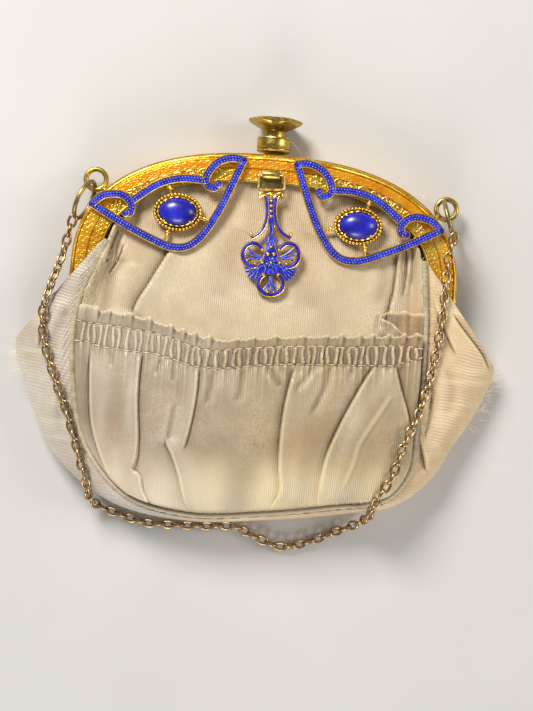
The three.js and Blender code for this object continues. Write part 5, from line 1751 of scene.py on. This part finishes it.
# %% Fields, veins and tendrils of the drop
STEM = [(1.25, -8), (0.95, -11.5), (0.95, -14.5), (0.85, -17), (0.55, -19), (0.75, -20.6)]
HEART = [
    (0.7, -20.6), (1.2, -22.4), (1.4, -24.2), (2.1, -25.6), (2.5, -27.4), (2.9, -28.8), (4.6, -30.2),
    (4.6, -32.4), (3, -33.4), (1.4, -33),
]
HEART_VEINS = [
    [(0.35, -16.2), (0.5, -18.4), (0.2, -20.4)], [(0.6, -21.2), (1.3, -23.2), (1.5, -24.6), (2.2, -26.4)],
    [(1.9, -27.6), (2.5, -29.3), (1.7, -31), (2.2, -32.7)], [(2.6, -30.2), (3.8, -30.9), (4.2, -32)],
    [(0.3, -31.4), (0.9, -32.2), (0.5, -33)], [(0.2, -22), (0.65, -23), (0.2, -24)],
]
TENDRILS = [
    [(3.0, -27.4), (4.6, -26.6), (6.2, -25.6), (7.6, -24.2)], [(3.2, -27.6), (5.4, -27.0), (8.2, -26.4)],
    [(3.4, -28), (5.6, -27.8), (7.8, -28.4)],
]
PETALS = [(2.35, -21.5), (1.3, -20.6)]
FEET = [(2.2, -38.0), (1.0, -38.9)]
FAN_ROOT = (3.2, -30)
FAN_REACH = 5.3
FAN_TURNS = {-1: (190, 258), 1: (282, 350)}
STAR_MIDDLE = np.array([0.05, -29.2])
STAR_TURNS = {-1: (200, 245, 290, 335), 1: (20, 65, 110, 155)}
STAR_WIDTHS = [0.4, 0.7, 0.95, 1, 1, 0.9, 0.7, 0.4]
VEIN = circle(0.13, 6)
TENDRIL = circle(0.34, 8)


def draw_wire(parts, line, height, section, tone=0, **shape):
    """Adds a wire along a flat line to the drop."""
    parts.append((hung(swept(lifted(line, height), section, **shape)), tone))


def draw_vein(line, height):
    """Adds a thin raised line of pale enamel to the drop, partly a painted highlight."""
    draw_wire(blue_parts, line, height, VEIN, 1)


def draw_ball(x, y, height, radius, sides):
    """Adds a gilt ball to the drop."""
    gilt_parts.append((hung(ball((x, y, height), radius, sides)), 0))


def ray(middle, turn, near, far, count):
    """A straight line outwards from a point."""
    heading = np.array([math.cos(turn), math.sin(turn)])
    return np.linspace(middle + near * heading, middle + far * heading, count)


for half_outline in (STEM, HEART):
    outline = np.array(half_outline + [(-x, y) for x, y in half_outline[::-1]])
    gilt_parts.append((hung(plate(outline, -0.5, 0.4)), 0))
    blue_parts.append((hung(plate(outline * (0.9, 1), 0.41, 0.66)), 0))
for side in (-1, 1):
    root = np.array(FAN_ROOT) * (side, 1)
    blue_parts.append((hung(fan(root, FAN_REACH, *FAN_TURNS[side], 5)), 0))
    for turn in np.radians(np.linspace(*FAN_TURNS[side], 6)[1:-1]):
        draw_vein(ray(root, turn, 1.9, 4.9, 6), 0.76)
    for line in HEART_VEINS:
        draw_vein(drawn_line(np.array(line) * (side, 1), 0.25), 0.7)
    for tendril in TENDRILS:
        line = drawn_line(np.array(tendril) * (side, 1), 0.3)
        draw_wire(blue_parts, line, 0.25, TENDRIL)
        draw_vein(line, 0.54)
        draw_ball(*line[-1], 0.3, 0.42, 10)
    for x, y in PETALS:
        line = drawn_line([(side * 0.3, -24.2), (side * 0.6 * x, (y - 24) / 2), (side * x, y)], 0.25)
        draw_wire(blue_parts, line, 0.45, circle(0.42, 8), scale=np.linspace(0.5, 1, len(line)))
        draw_vein(line[len(line) // 3:], 0.82)
    for turn in np.radians(STAR_TURNS[side]):
        petal = ray(STAR_MIDDLE, turn, 0.5, 2, 8)
        draw_wire(blue_parts, petal, 0.62, circle(0.44, 8, 0.8), scale=STAR_WIDTHS)
        draw_vein(petal[1:-1], 0.94)
    for x, y in FEET:
        line = drawn_line([(side * 0.25, -33.6), (side * 0.3 * x, -36), (side * x, y)], 0.3)
        draw_wire(blue_parts, line, 0.3, TENDRIL)
        draw_vein(line, 0.6)
        draw_ball(side * x, y, 0.4, 0.36, 10)
print("drop:", len(blue_parts), "blue forms")

# %% [markdown]
# Gilt balls sit where the ends of the bands curl, and a row of studs runs down the stem. Two pairs of
# small gilt leaves spread at its top. The bail is a bent wire with round corners, and its bar runs
# through the strap.

# %% Studs, leaves and bail of the drop
STUDS = [
    (0, -8.8, 0.52), (0, -10.5, 0.52), (0, -12.2, 0.52), (0, -13.9, 0.52), (-1.25, -17.4, 0.36),
    (1.25, -17.4, 0.36), (-6.5, -19.9, 0.66), (6.6, -19.9, 0.66), (-2.8, -25.1, 0.56),
    (2.7, -25.1, 0.56), (-5.1, -29.7, 0.5), (5.1, -29.6, 0.5), (-1, -26.4, 0.66), (1, -26.4, 0.66),
    (0.05, -29.2, 0.52), (-2.8, -29.2, 0.5), (2.9, -29.2, 0.5), (-2.4, -33.2, 0.56),
    (2.4, -33.2, 0.56), (0, -24.1, 0.45),
]
LEAVES = [
    [(0.2, -6.3), (1.6, -6.6), (3.2, -6.1), (3.9, -6.9)],
    [(0.9, -7.6), (1.9, -7.0), (3.0, -7.3), (3.6, -7.9)],
]
BAIL_CORNERS = [(3.65, -0.62), (-3.65, -0.62), (-3.65, -4.32), (3.65, -4.32)]
BAIL_BEND = 0.62
for x, y, radius in STUDS:
    draw_ball(x, y, 0.78, radius, 14)
for side in (-1, 1):
    for line in LEAVES:
        leaf = drawn_line(np.array(line) * (side, 1), 0.25)
        draw_wire(gilt_parts, leaf, 0.35, circle(0.5, 8), scale=np.linspace(1, 0.75, len(leaf)))
    draw_ball(side * 3.75, -6.75, 0.45, 0.62, 12)
draw_ball(0, -6.8, 0.45, 0.85, 14)
bail_path = []
for quarter, corner in enumerate(BAIL_CORNERS):
    turn = np.linspace(0, np.pi / 2, 8) + quarter * np.pi / 2
    bail_path.append(corner + BAIL_BEND * np.column_stack([np.cos(turn), np.sin(turn)]))
draw_wire(gilt_parts, np.concatenate(bail_path), 0, circle(0.42, 10), 1, closed=True)
piece("drop_plate_gilt", gilt_parts, [gilt, pale_gilt], body="drop", stands_for=["drop_plate"])
piece(
    "drop_enamel_glass", blue_parts, [blue_enamel, pale_enamel_and_highlight],
    body="drop", stands_for=["drop_enamel"],
)
print("drop:", len(gilt_parts), "gilt and", len(blue_parts), "blue forms")

# %% [markdown]
# The chain is a cable chain of oval links. Each link lies across the next one, so the links turn by a
# quarter from one to the next. A tree sets one link at every step of the route, along the path, and turns
# every second one. The route is the one of the chain's solid. A round jump ring joins each end to its
# eye.

# %% Chain and jump rings
CHAIN_ROUTE = [
    (-64.7, 14.6, 9.4), (-65.9, 9.2, 8.9), (-66.9, 3.8, 9.3), (-69.5, -6.9, 13.6),
    (-70.9, -13.7, 16.1), (-70.9, -20.3, 16), (-69.1, -28, 16.4), (-64.8, -38.8, 17.1),
    (-61.3, -46.4, 17.1), (-58, -55, 16.8), (-54.3, -65.9, 16.2), (-52.8, -71.2, 14.2),
    (-51.8, -76.5, 8), (-49, -79.4, 3.2), (-42.3, -81.7, 1.6), (-33, -83.9, 1.5), (-24.9, -83.9, 1.5),
    (-13.4, -83.5, 1.5), (-3, -83, 1.5), (2.9, -85.4, 1.5), (12.3, -88.4, 1.5), (21.2, -86.4, 1.5),
    (30, -82.4, 1.6), (35.8, -79.6, 3.4), (39.3, -76.9, 8.4), (41.5, -73.3, 16.6), (42.7, -68.8, 19.6),
    (46.4, -61.2, 21.7), (50, -49.5, 21.9), (53.6, -40.5, 20.2), (56.8, -28.3, 17.9),
    (58.8, -14.7, 17.4), (59.5, -3.5, 17.2), (59.6, 4.4, 16.6), (60.1, 12.9, 16.8), (61, 17.9, 17.2),
]
JUMP_RING_RADIUS = 6.6
JUMP_WIRE_RADIUS = 0.75
JUMP_RING_SLACK = {-1: 1.4, 1: -0.2}
JUMP_RING_LEAN = math.radians(12)
LINK_PITCH = 3.26
LINK_LEAN = 0.15
CHAIN_LOWEST = 1.78

link_tree, given = growing_tree(
    "links_on_a_path", Pitch=0.003, HalfLength=0.0021, HalfWidth=0.00126, Wire=0.00048,
)
loop = node(link_tree, "GeometryNodeCurvePrimitiveCircle", {"Resolution": 16, "Radius": 1.0})
oval = node(link_tree, "ShaderNodeCombineXYZ", {"X": given["HalfLength"], "Y": given["HalfWidth"], "Z": 1.0})
loop = node(link_tree, "GeometryNodeTransform", {"Geometry": loop.outputs[0], "Scale": oval.outputs[0]})
link = wire_along(link_tree, loop.outputs[0], given["Wire"])
number = node(link_tree, "GeometryNodeInputIndex").outputs[0]
quarter = sum_of(link_tree, sum_of(link_tree, number, 2.0, "MODULO"), math.pi / 2, "MULTIPLY")
roll = node(link_tree, "ShaderNodeCombineXYZ", {"X": sum_of(link_tree, quarter, LINK_LEAN)})
rolled = node(link_tree, "FunctionNodeRotateRotation", {
    "Rotation": along_path(link_tree), "Rotate By": roll.outputs[0],
}, rotation_space="LOCAL")
plant(link_tree, given, link, Rotation=rolled.outputs[0])

chain_path = through(CHAIN_ROUTE, np.linspace(0, 1, 1200))
chain_path[:, 2] = np.maximum(chain_path[:, 2], CHAIN_LOWEST)
chain = grow("carrying_chain", [chain_path], link_tree, chain_bronze, Pitch=LINK_PITCH * MM)
dressed(chain, stands_for=["chain"])
chain_length = reach_along(chain_path)[-1]
for side, side_name in SIDES:
    _, eye, _ = eye_place(side)
    end = np.array(CHAIN_ROUTE[0 if side < 0 else -1])
    run = (end - eye) / np.linalg.norm(end - eye)
    up = np.array([0, 0, 1]) - run[2] * run
    up /= np.linalg.norm(up)
    up = up * math.cos(JUMP_RING_LEAN) + np.cross(run, up) * math.sin(JUMP_RING_LEAN)
    slack = run * (1, 1, 0) / np.hypot(run[0], run[1]) * JUMP_RING_SLACK[side]
    centre = eye + slack + JUMP_RING_RADIUS * run
    jump = ring(centre, run, up, JUMP_RING_RADIUS, JUMP_WIRE_RADIUS, 72, 14)
    jump_name = f"jump_ring_{side_name}"
    piece(jump_name + "_brass", [(jump, 0)], [dark_brass], stands_for=[jump_name])
print("chain", round(chain_length), "mm,", round(chain_length / LINK_PITCH), "links")

# %% [markdown]
# Two lines of pale thread hold the casing. Each stitch is a short thick grain of thread that lies along
# the line, so a tree sets stretched balls on the path, turned to run with it. The paths are rows of the
# pocket's own sheet, raised to its upper face.

# %% Stitches of the casing
silk_thread, tree, shader, where = finish("silk_thread", 0.5)
thread_tone = ramp(
    tree, noise(tree, where, 300, 3), (0.35, colour(226, 206, 156)), (0.7, colour(250, 240, 210)),
)
plug(tree, shader, {"Base Color": thread_tone})
stitch_tree, given = growing_tree("stitches_on_a_path", Pitch=0.0033, Length=0.0031, Thread=0.00016)
half = sum_of(stitch_tree, given["Length"], 0.5, "MULTIPLY")
size = node(stitch_tree, "ShaderNodeCombineXYZ", {"X": half, "Y": given["Thread"], "Z": given["Thread"]})
grain = node(stitch_tree, "GeometryNodeMeshUVSphere", {"Segments": 6, "Rings": 5, "Radius": 1.0})
plant(stitch_tree, given, grain.outputs[0], Rotation=along_path(stitch_tree), Scale=size.outputs[0])
raised = np.array([0, 0, POCKET_CLOTH / 2 + 0.3])
seam_rows = [int(np.argmin(np.abs(pocket_rows - seam))) for seam in (1, 2)]
seam_paths = [pocket[6:-6, seam_row] + raised for seam_row in seam_rows]
stitch_piece = dressed(grow("casing_stitches", seam_paths, stitch_tree, silk_thread))
print("stitches:", len(stitch_piece.data.vertices), "points")

# %% [markdown]
# The old silk has frayed at the tips of the wings, along the mouth beside the frame, and at the hem and
# foot of the pocket. Loose strands stand out there, and one is caught beside the clasp. Their paths are
# drawn from fixed seeds: each starts at the cloth, heads outwards and curls a little. Beside the left
# mouth a thicker floss lies flat on the panel. One tree gives all of them a round section.

# %% Frayed threads
STRAND_POINTS = 8
SEAM_STEP = 0.004
thread_tree, given = growing_tree("threads", Thread=0.000035)
close_tree(thread_tree, given, wire_along(thread_tree, path_curve(thread_tree, given), given["Thread"], 4))


def strands(roots, headings, longest, seed, spread=0.5, lift=0.25):
    """Paths of loose strands from roots, each along its heading, with some spread and curl."""
    pick = np.random.default_rng(seed)
    paths = []
    for root, heading in zip(roots, headings):
        turn = math.atan2(heading[1], heading[0]) + pick.uniform(-spread, spread)
        curl = pick.uniform(-1.1, 1.1)
        rise = pick.uniform(-0.3, 1) * lift
        length = longest * pick.uniform(0.35, 1)
        share = np.linspace(0, 1, STRAND_POINTS)
        bend = turn + curl * share**1.5
        heads = np.column_stack([np.cos(bend), np.sin(bend), np.full(STRAND_POINTS, rise)])
        step = heads * length / STRAND_POINTS
        path = root + np.cumsum(step, axis=0) - step[0]
        path[:, 2] = np.maximum(path[:, 2], 0.1)
        paths.append(path)
    return paths


def seam_headings(shares):
    """Flat headings along the front seam."""
    return (through(FRONT_SEAM, shares + SEAM_STEP) - through(FRONT_SEAM, shares))[:, :2]


wing_rim = gusset[:, gusset.shape[1] // 2]
frayed = []
for side, low, high, count, longest in ((-1, -38, -4, 40, 6.0), (1, -44, -2, 44, 6.5)):
    there = wing_rim[(wing_rim[:, 0] * side > 58) & (wing_rim[:, 1] > low) & (wing_rim[:, 1] < high)]
    spots = there[np.random.default_rng(7 + side).integers(0, len(there), count)]
    frayed += strands(spots + (0, 0, 0.3), [(side, 0.15)] * count, longest, 40 + side, 1.1)
hem_spots = pocket[np.random.default_rng(5).integers(10, 390, 60), 0] + (0, 0, 0.2)
frayed += strands(hem_spots, [(0.1, 1)] * 60, 1.6, 51, 1.2, 0.5)
foot_spots = pocket[np.random.default_rng(6).integers(255, 372, 46), -4] + (0, 0, 0.35)
frayed += strands(foot_spots, [(0.3, -1)] * 46, 2.2, 52, 1.3, 0.3)
for first, last, count in ((0.004, 0.13, 150), (0.9, 0.996, 90)):
    shares = np.random.default_rng(60 + count).uniform(first, last, count)
    roots = beside(FRONT_SEAM, shares, PANEL_SEAM_GAP + 0.2) + (0, 0, 0.75)
    frayed += strands(roots, seam_headings(shares), 3.4, 61 + count, 0.5, 0.12)
share = np.linspace(0, 1, 9)
frayed.append(np.column_stack([5.2 + 4.4 * share, 46 - 4.6 * share**1.5, 14.2 - 0.4 * share]))
frayed += strands([(49.6 + 0.2 * step, 30.6, 12.4) for step in range(9)], [(0.2, 1)] * 9, 4.2, 77, 0.6, 0.2)
pick = np.random.default_rng(88)
shares = pick.uniform(0.006, 0.135, 120)
gaps = [PANEL_SEAM_GAP + 0.2 + 3.6 * pick.random() ** 2 for _ in shares]
roots = np.array([beside(FRONT_SEAM, share, gap) for share, gap in zip(shares, gaps)])
floss = strands(roots, seam_headings(shares), 5.0, 89, 0.45, 0.0)
for path in floss:
    path[:, 2] = panel_height(path[:, :2]) + CLOTH / 2 + 0.1
dressed(grow("seam_floss", floss, thread_tree, silk_thread, Thread=0.00008))
dressed(grow("frayed_threads", frayed, thread_tree, silk_thread))
print(len(frayed), "loose strands and", len(floss), "of floss")

# %% [markdown]
# Each cloth was cut flat before it was sewn and gathered. Its flat width is the mean way across along the
# made cloth, folds included, and its flat length is a long way down it, past nine in ten of the others.
# The flat area is the sum of the small faces of the sheet.

# %% Flat sizes of the cloths


def cut_size(sheet):
    """Width, length and area in metres of the flat cut of a sheet of points."""
    across_steps = np.linalg.norm(np.diff(sheet, axis=0), axis=-1).sum(axis=0)
    down_steps = np.linalg.norm(np.diff(sheet, axis=1), axis=-1).sum(axis=1)
    first = np.cross(sheet[1:, :-1] - sheet[:-1, :-1], sheet[:-1, 1:] - sheet[:-1, :-1])
    second = np.cross(sheet[1:, :-1] - sheet[1:, 1:], sheet[:-1, 1:] - sheet[1:, 1:])
    area = (np.linalg.norm(first, axis=-1).sum() + np.linalg.norm(second, axis=-1).sum()) / 2
    return across_steps.mean() * MM, np.percentile(down_steps, 90) * MM, area * MM**2


for made, sheet, held, holders, sewn in (
    (front_panel, front, "stretched", ["frame_front_gilt", "piping_roll"], []),
    (pocket_piece, pocket, "gathered", ["front_panel_satin"], [stitch_piece]),
    (flap_piece, flap, "folded", ["front_panel_satin"], []),
    (gusset_piece, gusset, "folded", ["piping_roll", "back_panel_satin"], []),
    (back_panel, back, "laid", ["frame_back_gilt"], []),
):
    width, length, area = cut_size(sheet)
    flat_size = f"{width * 1000:.0f} by {length * 1000:.0f} mm, area {area * 1e4:.1f} cm2"
    print(made.name, "cut", flat_size)

# %% [markdown]
# A plain pale floor catches the shadows. It is a backdrop and no part of the purse.

# %% Floor
floor_mesh = bpy.data.meshes.new("floor")
HALF_FLOOR = 1.4
floor_corners = [(x * HALF_FLOOR, y * HALF_FLOOR, 0) for x, y in ((-1, -1), (1, -1), (1, 1), (-1, 1))]
floor_mesh.from_pydata(floor_corners, [], [(0, 1, 2, 3)])
paper, tree, shader, where = finish("floor_paper", 0.8)
cloud = noise(tree, where, 6, 4)
floor_tone = ramp(tree, cloud, (0.3, colour(198, 196, 193)), (0.7, colour(208, 206, 203)))
plug(tree, shader, {"Base Color": floor_tone})
floor_mesh.materials.append(paper)
floor = linked("floor", floor_mesh)
print("floor", 2 * HALF_FLOOR, "m wide")
